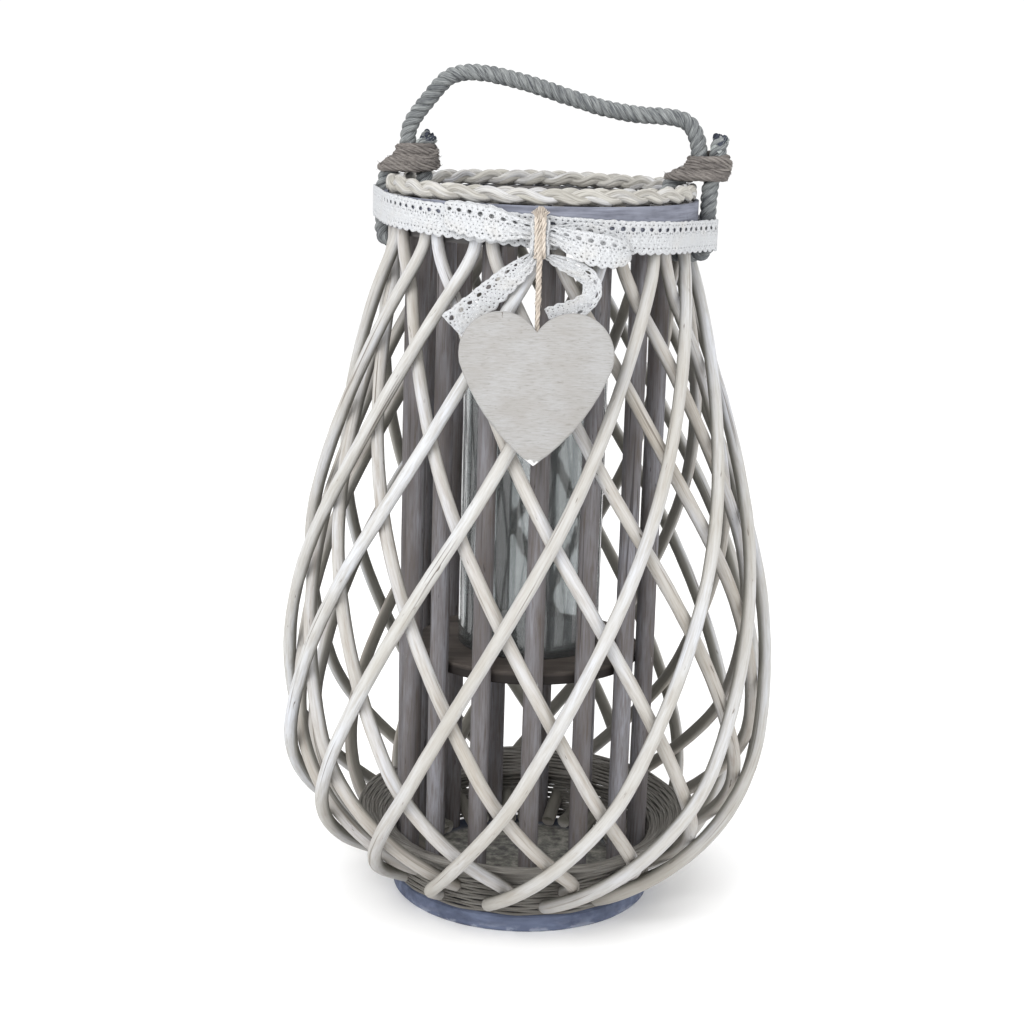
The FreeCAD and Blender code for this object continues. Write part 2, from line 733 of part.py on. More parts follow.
def belt_face(spare):
    """The area inside a belt that keeps a spare distance from the hoop and the rope legs."""
    hoop = (Vector(0, 0, 0), hoop_outside + spare)
    right = (around(outside_leg, eye_angles["right"], 0), rope_radius + spare)
    left = (around(outside_leg, eye_angles["left"], 0), rope_radius + spare)
    stops = [hoop, right, hoop, left]
    lines = []
    for (centre, radius), (next_centre, next_radius) in zip(stops, stops[1:] + stops[:1]):
        way = next_centre - centre
        share = (radius - next_radius) / way.Length
        way.normalize()
        outward = way * share + Vector(way.y, -way.x, 0) * math.sqrt(1 - share ** 2)
        lines.append((centre + outward * radius, next_centre + outward * next_radius, outward))
    edges = []
    for index, (start, end, outward) in enumerate(lines):
        centre, radius = stops[index]
        previous_end, previous_outward = lines[index - 1][1:]
        edges.append(Part.Arc(previous_end, centre + (outward + previous_outward).normalize() * radius,
                              start).toShape())
        edges.append(Part.LineSegment(start, end).toShape())
    return Part.Face(Part.Wire(edges))


lace_gap = size("lace_gap")
lace_thickness = size("lace_thickness")
lace_inside = hoop_outside + lace_gap
lace_outside = lace_inside + lace_thickness
belt_reach = 2 * size("lace_width")
belt = belt_face(lace_gap + lace_thickness).cut(belt_face(lace_gap))
belt.translate(UP * (size("lace_height") - belt_reach))
strip = Part.makeBox(4 * hoop_outside, 4 * hoop_outside, size("lace_width"),
                     Vector(-2 * hoop_outside, -2 * hoop_outside, -size("lace_width") / 2))
strip.Placement = Placement(UP * size("lace_height"), Rotation(Vector(0, 1, 0), size("lace_tilt")))
keep(add_shape("Lace_band", belt.extrude(UP * 2 * belt_reach).common(strip)), "lace_band")


# Lace bow: a knot, two loops and two tails of thin ribbon

knot_back = lace_outside + lace_gap
knot_front = knot_back + size("knot_depth")
knot_bottom = size("knot_middle") - size("knot_height") / 2
knot_box = Part.makeBox(size("knot_width"), size("knot_depth"), size("knot_height"),
                        Vector(-size("knot_width") / 2, -knot_front, knot_bottom))
keep(add_shape("Lace_knot", knot_box.makeFillet(size("knot_rounding"), knot_box.Edges)), "lace_knot")


def plan_strip(points):
    """The area of a thin strip along points in plan, seen from above."""
    half = lace_thickness / 2
    sides = ([], [])
    for index, point in enumerate(points):
        arriving = points[max(index, 1)] - points[max(index, 1) - 1]
        leaving = points[min(index + 1, len(points) - 1)] - points[min(index, len(points) - 2)]
        normals = [Vector(-way.y, way.x, 0).normalize() for way in (arriving, leaving)]
        across = (normals[0] + normals[1]).normalize()
        across = across * (half / across.dot(normals[0]))
        sides[0].append(point + across)
        sides[1].append(point - across)
    corners = sides[0] + sides[1][::-1]
    return Part.Face(Part.makePolygon(corners + corners[:1]))


# A bow loop in plan: sideways from the middle and outwards from the lace, out to the tip and back
BOW_LEFT = [(-7.6, 6.2), (-22, 6.8), (-40, 5.8), (-56, 4.2), (-60, 3.8), (-58.8, 1.3), (-40, 2.2),
            (-22, 2.8), (-7.6, 2.6)]
BOW_RIGHT = [(7.6, 6.2), (24, 10.5), (42, 11.5), (53, 9), (57.4, 5.5), (55.8, 1.5), (40, 2.3),
             (22, 2.9), (7.6, 2.6)]


def bow_loop(outline, tilt):
    """An upright loop of ribbon, cut to a strip that tilts down to the right."""
    points = []
    for across, out in outline:
        reach = lace_outside + out
        points.append(Vector(across, -math.sqrt(reach ** 2 - across ** 2), size("knot_middle") - belt_reach))
    upright = plan_strip(points).extrude(UP * 2 * belt_reach)
    strip = Part.makeBox(4 * hoop_outside, 4 * hoop_outside, size("bow_width"),
                         Vector(-2 * hoop_outside, -2 * hoop_outside, -size("bow_width") / 2))
    strip_middle = UP * (size("knot_middle") + size("bow_rise"))
    strip.Placement = Placement(strip_middle, Rotation(Vector(0, 1, 0), tilt))
    return upright.common(strip)


def panel(outline, out, slope):
    """A flat piece of ribbon: (sideways, down from the knot) corners on a plane that slopes sideways."""
    corners = []
    for across, down in outline:
        corners.append(Vector(across, -(lace_outside + out + slope * across), knot_bottom - down))
    face = Part.Face(Part.makePolygon(corners + corners[:1]))
    return face.extrude(Vector(0, -lace_thickness, 0))


TAIL_LEFT = [(-7.2, 0.6), (-0.8, 0.6), (-4, 12), (-44.6, 54.4), (-59.4, 39.6), (-19, 7)]
TAIL_RIGHT = [(0.8, 0.6), (7.2, 0.6), (22, 6.5), (37.5, 15), (31.5, 25.5), (12, 12)]
TAIL_RIGHT_END = [(37.5, 15), (24, 23.5), (7, 30.5), (7, 43), (22, 38), (33.5, 27)]
TAIL_LEFT_SLOPE = 0.01
TAIL_RIGHT_SLOPE = -0.03
TAIL_RIGHT_END_SLOPE = -0.178
keep(add_shape("Bow_left", bow_loop(BOW_LEFT, size("bow_left_tilt"))), "lace_bow_left")
keep(add_shape("Bow_right", bow_loop(BOW_RIGHT, size("bow_right_tilt"))), "lace_bow_right")
keep(add_shape("Tail_left", panel(TAIL_LEFT, size("tail_out"), TAIL_LEFT_SLOPE)), "lace_tail_left")
right_tail = panel(TAIL_RIGHT, size("tail_out"), TAIL_RIGHT_SLOPE)
right_tail_end = panel(TAIL_RIGHT_END, size("tail_end_out"), TAIL_RIGHT_END_SLOPE)
keep(add_shape("Tail_right", right_tail.fuse(right_tail_end).removeSplitter()), "lace_tail_right")


# Heart: its back plane leans so that the tip rests near the willow and the twine fits behind the notch.
# The notch is never further in than the twine that hangs from the knot.

twine_radius = size("twine_diameter") / 2
twine_gap = size("twine_clearance")
twine_reach = knot_front + twine_gap + twine_radius
lobe_radius = size("heart_lobe_radius")
lobe_across = size("heart_width") / 2 - lobe_radius
notch_above_lobes = math.sqrt(lobe_radius ** 2 - lobe_across ** 2)
notch_drop = lobe_radius - notch_above_lobes
tip_drop = size("heart_height") - notch_drop
behind_heart = 2 * twine_gap + size("twine_diameter") + size("staple_wire") + size("heart_clearance")
notch_reach = max(lattice_outside(size("heart_notch_height")) + behind_heart,
                  twine_reach + twine_radius + twine_gap + size("heart_clearance"))
heart_lean = 0.0
for _ in range(20):
    tip_height = size("heart_notch_height") - tip_drop * math.cos(heart_lean)
    tip_reach = lattice_outside(tip_height) + size("heart_clearance")
    heart_lean = math.asin((tip_reach - notch_reach) / tip_drop)
heart_notch = Vector(0, -notch_reach, size("heart_notch_height"))
heart_place = Placement(heart_notch, Rotation(Vector(1, 0, 0), 90 - math.degrees(heart_lean)))
print("heart: lean", round(math.degrees(heart_lean), 2), "notch", tuple(round(x, 2) for x in heart_notch))

# In the heart's own plane the notch is the origin, +Y up, +Z out of its front
lobe_height = -notch_above_lobes
tip = Vector(0, -tip_drop, 0)
side_radius = size("heart_side_radius")
lobe_reach = side_radius - lobe_radius
lobe = Vector(lobe_across, lobe_height, 0)
to_tip = tip - lobe
half_way = (lobe_reach ** 2 - side_radius ** 2 + to_tip.Length ** 2) / (2 * to_tip.Length)
square_off = math.sqrt(lobe_reach ** 2 - half_way ** 2)
to_tip.normalize()
side_centre = lobe + to_tip * half_way + Vector(to_tip.y, -to_tip.x, 0) * square_off
touch = lobe + (lobe - side_centre).normalize() * lobe_radius


def mirrored(point):
    return Vector(-point.x, point.y, point.z)


notch_angle = math.atan2(-lobe.y, -lobe.x)
touch_angle = math.atan2(touch.y - lobe.y, touch.x - lobe.x)
lobe_top = lobe + Vector(math.cos((notch_angle + touch_angle) / 2),
                         math.sin((notch_angle + touch_angle) / 2), 0) * lobe_radius
side_middle = side_centre + ((touch - side_centre).normalize()
                             + (tip - side_centre).normalize()).normalize() * side_radius
heart_edges = [
    Part.Arc(MIDDLE, lobe_top, touch).toShape(),
    Part.Arc(touch, side_middle, tip).toShape(),
    Part.Arc(tip, mirrored(side_middle), mirrored(touch)).toShape(),
    Part.Arc(mirrored(touch), mirrored(lobe_top), MIDDLE).toShape(),
]
heart = Part.Face(Part.Wire(heart_edges)).extrude(UP * size("heart_thickness"))
flat_edges = [edge for edge in heart.Edges if abs(edge.BoundBox.ZLength) < 1e-6]
heart = heart.makeChamfer(size("heart_rounding"), flat_edges)

# Staple over the twine, on the heart's back
wire_radius = size("staple_wire") / 2
staple_across = twine_radius + size("staple_gap") + wire_radius
staple_back = -(2 * twine_gap + size("twine_diameter") + wire_radius)
staple_spot = Vector(0, -size("staple_below_notch"), 0)
staple_corners = [Vector(-staple_across, 0, size("staple_depth")), Vector(-staple_across, 0, staple_back),
                  Vector(staple_across, 0, staple_back), Vector(staple_across, 0, size("staple_depth"))]
staple = tube(rounded_route([staple_spot + corner for corner in staple_corners], "staple"),
              wire_radius, "staple")
for across in (-staple_across, staple_across):
    hole_depth = size("staple_depth") + nail_gap
    heart = heart.cut(Part.makeCylinder(wire_radius + nail_gap, hole_depth + 1,
                                        staple_spot + Vector(across, 0, -1)))
heart.Placement = heart_place
staple.Placement = heart_place
keep(add_shape("Heart", heart), "heart_pendant")
keep(add_shape("Staple", staple), "heart_staple")


# Twine: over the knot and down its front, then the hanging length from a pivot under the knot

twine_top = knot_bottom + size("knot_height") + twine_gap + twine_radius
twine_pivot = Vector(0, -twine_reach, knot_bottom - twine_gap - twine_radius)
tie_end = twine_pivot + UP * (twine_radius + twine_gap)
tie_points = [Vector(0, -lace_outside - lace_gap, twine_top), Vector(0, -twine_reach, twine_top), tie_end]
keep(add_shape("Tie", tube(rounded_route(tie_points, "twine tie"), twine_radius, "twine tie")), "twine_tie")

behind = -(twine_gap + twine_radius)
drop_end = heart_place.multVec(Vector(0, -size("twine_overlap"), behind))
slope_top = heart_place.multVec(Vector(0, 0, behind))
rise = (slope_top.y + twine_reach) / math.tan(heart_lean)
bend_spot = Vector(0, -twine_reach, slope_top.z - rise)
drop_points = [twine_pivot, bend_spot, drop_end]
drop = tube(rounded_route(drop_points, "twine drop"), twine_radius, "twine drop")
keep(add_shape("Drop", drop.fuse(Part.makeSphere(twine_radius, twine_pivot))), "twine_drop")
print("twine: pivot", tuple(round(x, 3) for x in twine_pivot), "bend", tuple(round(x, 2) for x in bend_spot))
staple_axis = heart_place.multVec(staple_spot + Vector(0, 0, behind))
print("heart sway: pivot", tuple(round(x, 3) for x in staple_axis),
      "axis", tuple(round(x, 4) for x in heart_place.Rotation.multVec(UP)))


# Check and write every piece

doc.recompute()
for thing in doc.Objects:
    if "Invalid" in thing.State or "Error" in thing.State:
        raise ValueError(f"{thing.Name}: {thing.State}")
os.makedirs("parts", exist_ok=True)
for piece in pieces:
    shape = piece.Shape
    if shape.isNull() or not shape.isValid():
        raise ValueError(f"{piece.Label}: bad shape")
    shape.exportStep(f"parts/{piece.Label}.step")
print(len(pieces), "pieces written")
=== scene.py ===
# %% [markdown]
# # A willow lantern
# The real lantern is a pear of crossed willow rods round a cage of upright sticks, with a glass
# cylinder on a shelf, a rope handle, a lace bow and a wooden heart. The CAD model gives every piece
# its place. This lesson gives each piece the surface that the real one has.

# %% Load the frame
import math

import bmesh
import bpy
from mathutils import Matrix, Vector, geometry, noise


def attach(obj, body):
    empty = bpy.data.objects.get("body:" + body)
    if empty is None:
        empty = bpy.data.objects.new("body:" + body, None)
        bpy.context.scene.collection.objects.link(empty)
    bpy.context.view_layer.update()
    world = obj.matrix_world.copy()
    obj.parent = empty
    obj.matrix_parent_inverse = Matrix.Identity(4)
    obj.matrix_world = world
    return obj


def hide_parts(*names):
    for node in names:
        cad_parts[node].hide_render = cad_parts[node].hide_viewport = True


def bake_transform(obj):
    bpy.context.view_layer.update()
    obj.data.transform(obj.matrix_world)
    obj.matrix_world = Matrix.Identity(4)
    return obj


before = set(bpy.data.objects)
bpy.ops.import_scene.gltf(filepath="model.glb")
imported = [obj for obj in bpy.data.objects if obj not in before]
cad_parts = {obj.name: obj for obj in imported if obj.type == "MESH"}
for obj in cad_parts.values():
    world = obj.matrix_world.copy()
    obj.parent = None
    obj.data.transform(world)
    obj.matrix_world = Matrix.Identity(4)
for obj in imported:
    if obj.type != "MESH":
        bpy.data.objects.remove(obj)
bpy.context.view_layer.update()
MM = 0.001
UP = Vector((0, 0, 1))
# Noise vectors come from this seed, so that every run makes the same lace.
noise.seed_set(7)


# %% Objects and pieces
def add_object(name, data):
    """A new object in the scene."""
    made = bpy.data.objects.new(name, data)
    bpy.context.scene.collection.objects.link(made)
    return made


def fit(piece, body, slot, *nodes):
    """Let a piece ride on a body, in place of CAD nodes if any are named. The slot is not used."""
    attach(piece, body)
    if nodes:
        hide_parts(*nodes)


# %% [markdown]
# ## Camera, light and floor
# The photograph looks slightly down at the front of the lantern and is turned a little, so that the
# lantern's top leans right. A long lens from 1.3 m gives its perspective. Light is soft: a large
# panel from the upper left, weaker ones from the right and from above, and a bright white surround.

# %% Camera
CAMERA_SPOT = (0, -1.3004, 0.572)
CAMERA_DOWN = math.radians(13.142)
CAMERA_ROLL = math.radians(1.8)
SENSOR_WIDTH, LENS_LENGTH = 36, 68.13
LENS_SHIFT = (-0.0189, 0.0027)
camera_data = bpy.data.cameras.new("camera")
camera_data.sensor_width = SENSOR_WIDTH
camera_data.lens = LENS_LENGTH
camera_data.shift_x, camera_data.shift_y = LENS_SHIFT
camera = add_object("camera", camera_data)
looking_down = Matrix.Translation(CAMERA_SPOT) @ Matrix.Rotation(math.pi / 2 - CAMERA_DOWN, 4, "X")
camera.matrix_world = looking_down @ Matrix.Rotation(CAMERA_ROLL, 4, "Z")
bpy.context.scene.camera = camera

# %% Lights and floor
LIGHT_AIM = Vector((0, 0, 0.3))
# Each square light panel: its spot, the length of its sides and its power.
LIGHT_PANELS = {
    "key_light": ((-0.9, -1.7, 1.5), 1.3, 40),
    "fill_light": ((1.7, -1.0, 0.9), 1.4, 11),
    "top_light": ((0.2, 0.5, 2.0), 1.2, 8),
}
SURROUND_STRENGTH = 1.06
FLOOR_HALF = 30
for name, (spot, size, power) in LIGHT_PANELS.items():
    light_data = bpy.data.lights.new(name, "AREA")
    light_data.size = size
    light_data.energy = power
    panel = add_object(name, light_data)
    panel.location = spot
    panel.rotation_euler = (LIGHT_AIM - Vector(spot)).to_track_quat("-Z", "Y").to_euler()
world = bpy.data.worlds.new("white_surround")
world.use_nodes = True
surround = world.node_tree.nodes["Background"].inputs
surround["Color"].default_value = (1, 1, 1, 1)
surround["Strength"].default_value = SURROUND_STRENGTH
bpy.context.scene.world = world
bpy.context.scene.view_settings.view_transform = "Standard"

floor_corners = [(FLOOR_HALF * x, FLOOR_HALF * y, 0) for x, y in ((-1, -1), (1, -1), (1, 1), (-1, 1))]
floor_mesh = bpy.data.meshes.new("floor")
floor_mesh.from_pydata(floor_corners, [], [(0, 1, 2, 3)])
floor = add_object("floor", floor_mesh)
print("light panels:", len(LIGHT_PANELS))

# %% [markdown]
# ## Finishes
# Each finish is a small node tree: a colour that changes with the grain, and a bump from the same
# grain. Long strands carry their own straightened coordinates in an attribute, so the grain follows
# every bend of a rod.


# %% Node helpers
def linear(colour):
    """A colour seen on screen (three values to 255), as the linear values that Blender needs.

    Sockets, numbers and colours of four values are left as they are.
    """
    if not isinstance(colour, tuple) or len(colour) != 3:
        return colour
    channels = [value / 255 for value in colour]
    return (*(c / 12.92 if c <= 0.04045 else ((c + 0.055) / 1.055) ** 2.4 for c in channels), 1.0)


def add_node(tree, kind, sockets=None, **settings):
    """A node in a tree. Each of its sockets gets a link or a plain value."""
    made = tree.nodes.new(kind)
    for setting, value in settings.items():
        setattr(made, setting, value)
    for socket, source in (sockets or {}).items():
        if hasattr(source, "is_linked"):
            tree.links.new(source, made.inputs[socket])
        else:
            made.inputs[socket].default_value = source
    return made


class Finish:
    """A material whose colour and bump are built step by step."""

    def __init__(self, name, roughness=0.7, straight=False, **sockets):
        self.material = bpy.data.materials.new(name)
        self.material.use_nodes = True
        self.tree = self.material.node_tree
        self.shader = self.tree.nodes["Principled BSDF"].inputs
        self.straight = straight
        self.shader["Roughness"].default_value = roughness
        for socket, value in sockets.items():
            self.shader[socket.replace("_", " ")].default_value = value

    def node(self, kind, sockets=None, **settings):
        return add_node(self.tree, kind, sockets, **settings)

    def attribute(self, name, output="Fac"):
        return self.node("ShaderNodeAttribute", attribute_name=name).outputs[output]

    def object_place(self):
        return self.node("ShaderNodeTexCoord").outputs["Object"]

    def place(self, stretch=(1, 1, 1)):
        """Stretched coordinates: the straightened ones of a piece, or else the object's own."""
        source = self.attribute("straight", "Vector") if self.straight else self.object_place()
        return self.node("ShaderNodeMapping", {"Vector": source, "Scale": stretch}).outputs["Vector"]

    def height(self):
        """Height above the floor, in metres."""
        return self.node("ShaderNodeSeparateXYZ", {"Vector": self.object_place()}).outputs["Z"]

    def noise(self, stretch, detail=4.0, roughness=0.55, distortion=0.0):
        """Noise with about this many spots to a metre in each direction."""
        sockets = {"Vector": self.place(stretch), "Scale": 1.0, "Detail": detail, "Roughness": roughness,
                   "Distortion": distortion}
        return self.node("ShaderNodeTexNoise", sockets).outputs["Fac"]

    def ramp(self, source, *stops):
        """Colours at stops along a source."""
        made = self.node("ShaderNodeValToRGB", {"Fac": source})
        elements = made.color_ramp.elements
        while len(elements) < len(stops):
            elements.new(0.5)
        for element, (position, colour) in zip(elements, stops):
            element.position = position
            element.color = linear(colour)
        return made.outputs["Color"]

    def grey(self, source, low, high, start=0.0, end=1.0):
        """A ramp of greys, for masks."""
        return self.ramp(source, (low, (start, start, start, 1)), (high, (end, end, end, 1)))

    def mix(self, share, first, second):
        sockets = {0: share, 6: linear(first), 7: linear(second)}
        return self.node("ShaderNodeMix", sockets, data_type="RGBA").outputs[2]

    def colour(self, source):
        self.tree.links.new(source, self.shader["Base Color"])

    def lay(self, colour, source, low, high, start=0.0, end=1.0):
        """Lay a colour over the finish. Its share goes from start to end where the source rises."""
        before = self.shader["Base Color"].links[0].from_socket
        self.colour(self.mix(self.grey(source, low, high, start, end), before, colour))

    def rough(self, source, low, high):
        self.tree.links.new(self.grey(source, 0, 1, low, high), self.shader["Roughness"])

    def bump(self, source, distance, strength):
        """Raise the surface with a source, on top of earlier bumps."""
        sockets = {"Height": source, "Strength": strength, "Distance": distance}
        earlier = self.shader["Normal"].links
        if earlier:
            sockets["Normal"] = earlier[0].from_socket
        self.tree.links.new(self.node("ShaderNodeBump", sockets).outputs["Normal"], self.shader["Normal"])


floor_finish = Finish("pale_floor", 0.9)
floor_finish.colour(floor_finish.grey(floor_finish.noise((4, 4, 4)), 0.0, 1.0, 0.95, 0.97))
floor_mesh.materials.append(floor_finish.material)

# %% [markdown]
# ### Whitewashed willow
# The rods are peeled willow under a thin chalky wash: pale cream, with cooler white where the wash is
# thick, a fine short grain, thin patches where the wood shows, and a few dark dashes and fine cracks.
# Their inner sides and lower parts get painted shade.


# %% Willow finish
def willow(name, wash, wood, rubbed, thin=0.5, painted_shade=None, lines=0.6):
    """A washed rod: wash over wood. Thin is how much wood shows where the wash has worn.

    The shade colour is painted as shade on the side that faces the middle of the lantern. With it, the lower
    part of the rod gets painted shade too.
    Lines is how strongly the fine grain shows.
    """
    finish = Finish(name, 0.7, straight=True, Specular_IOR_Level=0.28)
    clouds = finish.noise((70, 70, 11), 3, 0.5)
    grain = finish.noise((900, 900, 60), 4, 0.6)
    worn = finish.noise((220, 220, 24), 4, 0.6, 0.4)
    dashes = finish.noise((480, 480, 75), 2, 0.5)
    cracks = finish.noise((460, 460, 9), 2, 0.4)
    finish.colour(finish.ramp(clouds, (0.32, wash[0]), (0.5, wash[1]), (0.68, wash[2])))
    finish.lay(wood, grain, 0.28, 0.58, lines, 0.0)
    finish.lay(wood, worn, 0.56, 0.74, 0.0, thin)
    finish.lay(rubbed, dashes, 0.7, 0.76, 0.0, 0.85)
    finish.lay(rubbed, cracks, 0.66, 0.73, 0.0, 0.8)
    finish.lay(wood, finish.attribute("tone"), 0.3, 1, 0, 0.25)
    if painted_shade:
        # Painted shade: the lower part of a rod is darkened towards the wood's colour.
        finish.lay(wood, finish.height(), 0.01, 0.15, 0.4, 0.0)
        # Painted shade on the side that faces the middle of the lantern.
        finish.lay(painted_shade, finish.attribute("facing"), 0.2, 0.5, 0.88, 0.0)
    finish.rough(worn, 0.6, 0.85)
    finish.bump(worn, 0.0005, 0.35)
    finish.bump(grain, 0.0004 * lines, 0.6)
    return finish.material


outer_willow = willow("outer_willow_wash", ((168, 166, 161), (181, 181, 180), (191, 194, 200)),
                      (144, 138, 129), (88, 80, 73), painted_shade=(102, 100, 92))
inner_willow = willow("inner_willow_wash", ((162, 158, 151), (176, 174, 171), (187, 189, 194)),
                      (134, 125, 114), (82, 74, 66), 0.6, painted_shade=(96, 94, 87))
post_willow = willow("post_stain", ((90, 86, 87), (112, 110, 113), (136, 136, 142)),
                     (88, 80, 74), (58, 55, 56), 0.9, lines=0.8)
plait_willow = willow("plait_wash", ((166, 164, 156), (182, 180, 174), (194, 196, 202)),
                      (118, 114, 108), (84, 80, 76), 0.8, lines=0.95)
weave_willow = willow("weave_stain", ((104, 101, 96), (120, 117, 112), (136, 134, 130)),
                      (80, 77, 72), (54, 52, 49), 0.7, lines=0.8)
print("finishes so far:", len(bpy.data.materials))

# %% [markdown]
# ## Strands along a path
# Rods, sticks, plaits and cords are all strands along a path. One Geometry Nodes tree makes them: it
# thickens each line, tapers it from start to end, makes it a little uneven, and stores the
# straightened coordinates for the grain. It also stores how far each spot faces away from the middle
# of the lantern, for the painted shade on the inner sides of the rods.

# %% The strand tree
STRAND_INPUTS = {"Geometry": "Geometry", "Start radius": "Float", "End radius": "Float", "Uneven": "Float",
                 "Lumps": "Float", "Sides": "Int", "Seed": "Int", "Material": "Material"}
# Noise spots to a metre: slow swellings along a strand, and small lumps on its skin.
SWELL_SPOTS, LUMP_SPOTS = 26, 140
# Each strand's grain is moved on by its own random share of this length.
GRAIN_SHIFT = 3.7
# The middle that facing is measured from, and how much each axis counts, for the painted inner shade.
INNER_SHADE_MIDDLE, INNER_SHADE_FLATTEN = (0, 0, 0.25), (1, 1, 0.4)


def build_strand_tree():
    """Lines in, uneven tapered strands out. Sizes are named inputs."""
    tree = bpy.data.node_groups.new("strand_along_a_line", "GeometryNodeTree")
    inputs = {}
    for name, kind in STRAND_INPUTS.items():
        socket = tree.interface.new_socket(name, in_out="INPUT", socket_type="NodeSocket" + kind)
        inputs[name] = socket.identifier
    tree.interface.new_socket("Geometry", in_out="OUTPUT", socket_type="NodeSocketGeometry")
    given = tree.nodes.new("NodeGroupInput").outputs

    def node(kind, sockets=None, **settings):
        return add_node(tree, kind, sockets, **settings).outputs

    def number(operation, first, second=0):
        return node("ShaderNodeMath", {0: first, 1: second}, operation=operation)[0]

    def vector(operation, first, second=(0, 0, 0)):
        return node("ShaderNodeVectorMath", {0: first, 1: second}, operation=operation)

    def store(target, name, value, kind="FLOAT"):
        sockets = {"Geometry": target, "Name": name, "Value": value}
        return node("GeometryNodeStoreNamedAttribute", sockets, data_type=kind, domain="POINT")["Geometry"]

    def read(name):
        return node("GeometryNodeInputNamedAttribute", {"Name": name}, data_type="FLOAT")["Attribute"]

    def bumps(spots, size):
        """Noise round zero at the place on a strand."""
        found = node("ShaderNodeTexNoise", {"Vector": place, "Scale": spots, "Detail": 2})["Fac"]
        return number("MULTIPLY", number("SUBTRACT", found, 0.5), size)

    place = node("GeometryNodeInputPosition")[0]
    normal = node("GeometryNodeInputNormal")["Normal"]
    share = node("GeometryNodeSplineParameter")
    index = node("GeometryNodeInputIndex")[0]
    line_number = node("GeometryNodeFieldOnDomain", {0: index}, domain="CURVE", data_type="INT")[0]
    chance = node("FunctionNodeRandomValue", {"ID": line_number, "Seed": given["Seed"]})[1]
    lines = store(given["Geometry"], "along", share["Length"])
    lines = store(lines, "tone", chance)

    taper = node("ShaderNodeMapRange", {"Value": share["Factor"], "To Min": given["Start radius"],
                                        "To Max": given["End radius"]})["Result"]
    radius = number("ADD", taper, bumps(SWELL_SPOTS, given["Uneven"]))
    circle = node("GeometryNodeCurvePrimitiveCircle", {"Radius": 1, "Resolution": given["Sides"]})["Curve"]
    section = store(circle, "around", share["Factor"])
    skin = node("GeometryNodeCurveToMesh", {"Curve": lines, "Profile Curve": section, "Scale": radius,
                                            "Fill Caps": True})["Mesh"]

    turn = number("MULTIPLY", read("around"), math.tau)
    shift = number("MULTIPLY", read("tone"), GRAIN_SHIFT)
    straight = node("ShaderNodeCombineXYZ", {
        "X": number("ADD", number("MULTIPLY", number("COSINE", turn), given["Start radius"]), shift),
        "Y": number("MULTIPLY", number("SINE", turn), given["Start radius"]),
        "Z": number("ADD", read("along"), shift)})[0]
    skin = store(skin, "straight", straight, "FLOAT_VECTOR")
    away = vector("MULTIPLY", vector("SUBTRACT", place, INNER_SHADE_MIDDLE)[0], INNER_SHADE_FLATTEN)[0]
    outside = vector("DOT_PRODUCT", normal, vector("NORMALIZE", away)[0])["Value"]
    skin = store(skin, "facing", number("MULTIPLY", number("ADD", outside, 1), 0.5))

    lift = {0: normal, "Scale": bumps(LUMP_SPOTS, given["Lumps"])}
    push = node("ShaderNodeVectorMath", lift, operation="SCALE")[0]
    for step, sockets in (("SetPosition", {"Offset": push}), ("SetShadeSmooth", {}), ("RealizeInstances", {}),
                          ("SetMaterial", {"Material": given["Material"]})):
        skin = node("GeometryNode" + step, {"Geometry": skin, **sockets})["Geometry"]
    tree.links.new(skin, tree.nodes.new("NodeGroupOutput").inputs[0])
    return tree, inputs


strand_tree, strand_inputs = build_strand_tree()


# %% Strands as meshes
def as_mesh(made, name):
    """A plain mesh object from an evaluated object, which is then removed."""
    bpy.context.view_layer.update()
    mesh = bpy.data.meshes.new_from_object(made.evaluated_get(bpy.context.evaluated_depsgraph_get()))
    mesh.name = name
    bpy.data.objects.remove(made)
    return add_object(name, mesh)


def strands(name, lines, start, end, material, sides=12, uneven=0.0, lumps=0.0, seed=1, closed=False):
    """One mesh object of strands along lines of points in metres.

    Its radius at the start and the end of a line, its unevenness and its lumps are in mm.
    """
    data = bpy.data.curves.new(name + "_lines", "CURVE")
    data.dimensions = "3D"
    for line in lines:
        spline = data.splines.new("POLY")
        spline.points.add(len(line) - 1)
        spline.points.foreach_set("co", [x for point in line for x in (*point, 1.0)])
        spline.use_cyclic_u = closed
    guide = add_object(name + "_lines", data)
    modifier = guide.modifiers.new("strand", "NODES")
    modifier.node_group = strand_tree
    values = {"Start radius": start * MM, "End radius": end * MM, "Uneven": uneven * MM, "Lumps": lumps * MM,
              "Sides": sides, "Seed": seed, "Material": material}
    for label, value in values.items():
        modifier[strand_inputs[label]] = value
    return as_mesh(guide, name)


# %% [markdown]
# ## Willow rods
# Thirty rods make the pear. Seen from the side they run down inside the hoop, out along a cone, round
# the belly and the bowl and in over the plate, while they wind round the lantern at a steady slant.
# The outer layer leans one way, the inner layer the other. Each rod is thinner at its top. Below the
# hoop the slant starts early, so that the rods first cross close under the lace.

# %% Shape of a rod layer
PAIR_COUNT = 15
PAIR_PITCH = math.tau / PAIR_COUNT
FIRST_ANGLE = math.radians(3.2)
PAIR_ANGLES = [FIRST_ANGLE + index * PAIR_PITCH for index in range(PAIR_COUNT)]
HOOP_TOP = 486.5
HOOP_BOTTOM = 466.0
ROD_TOP_RADIUS = 97.2
BELLY_RADIUS = 167.0
POST_RING = 83.5
SHOULDER, BOWL, NECK_BEND, FOOT_BEND = 570.0, 127.0, 40.0, 16.0
OUTER_TAIL_START, OUTER_TAIL_LENGTH = 82.6, 8.6
INNER_TAIL_END, INNER_TAIL_HEIGHT = 69.0, 16.9
FOOT_HEIGHT = 32.5
LAYER_STEP = 9.3
# The twist of a rod: where it starts, and how it ramps up at the neck and down at the tail.
TWIST_PITCHES = 4.5
TWIST_START, NECK_RAMP, TWIST_RAMP = 14.0, 36.0, 40.0
EASE_START, EASE_LENGTH, EASE_SHARE = 40.0, 190.0, 0.11
BOWL_SWEEP = 1.3
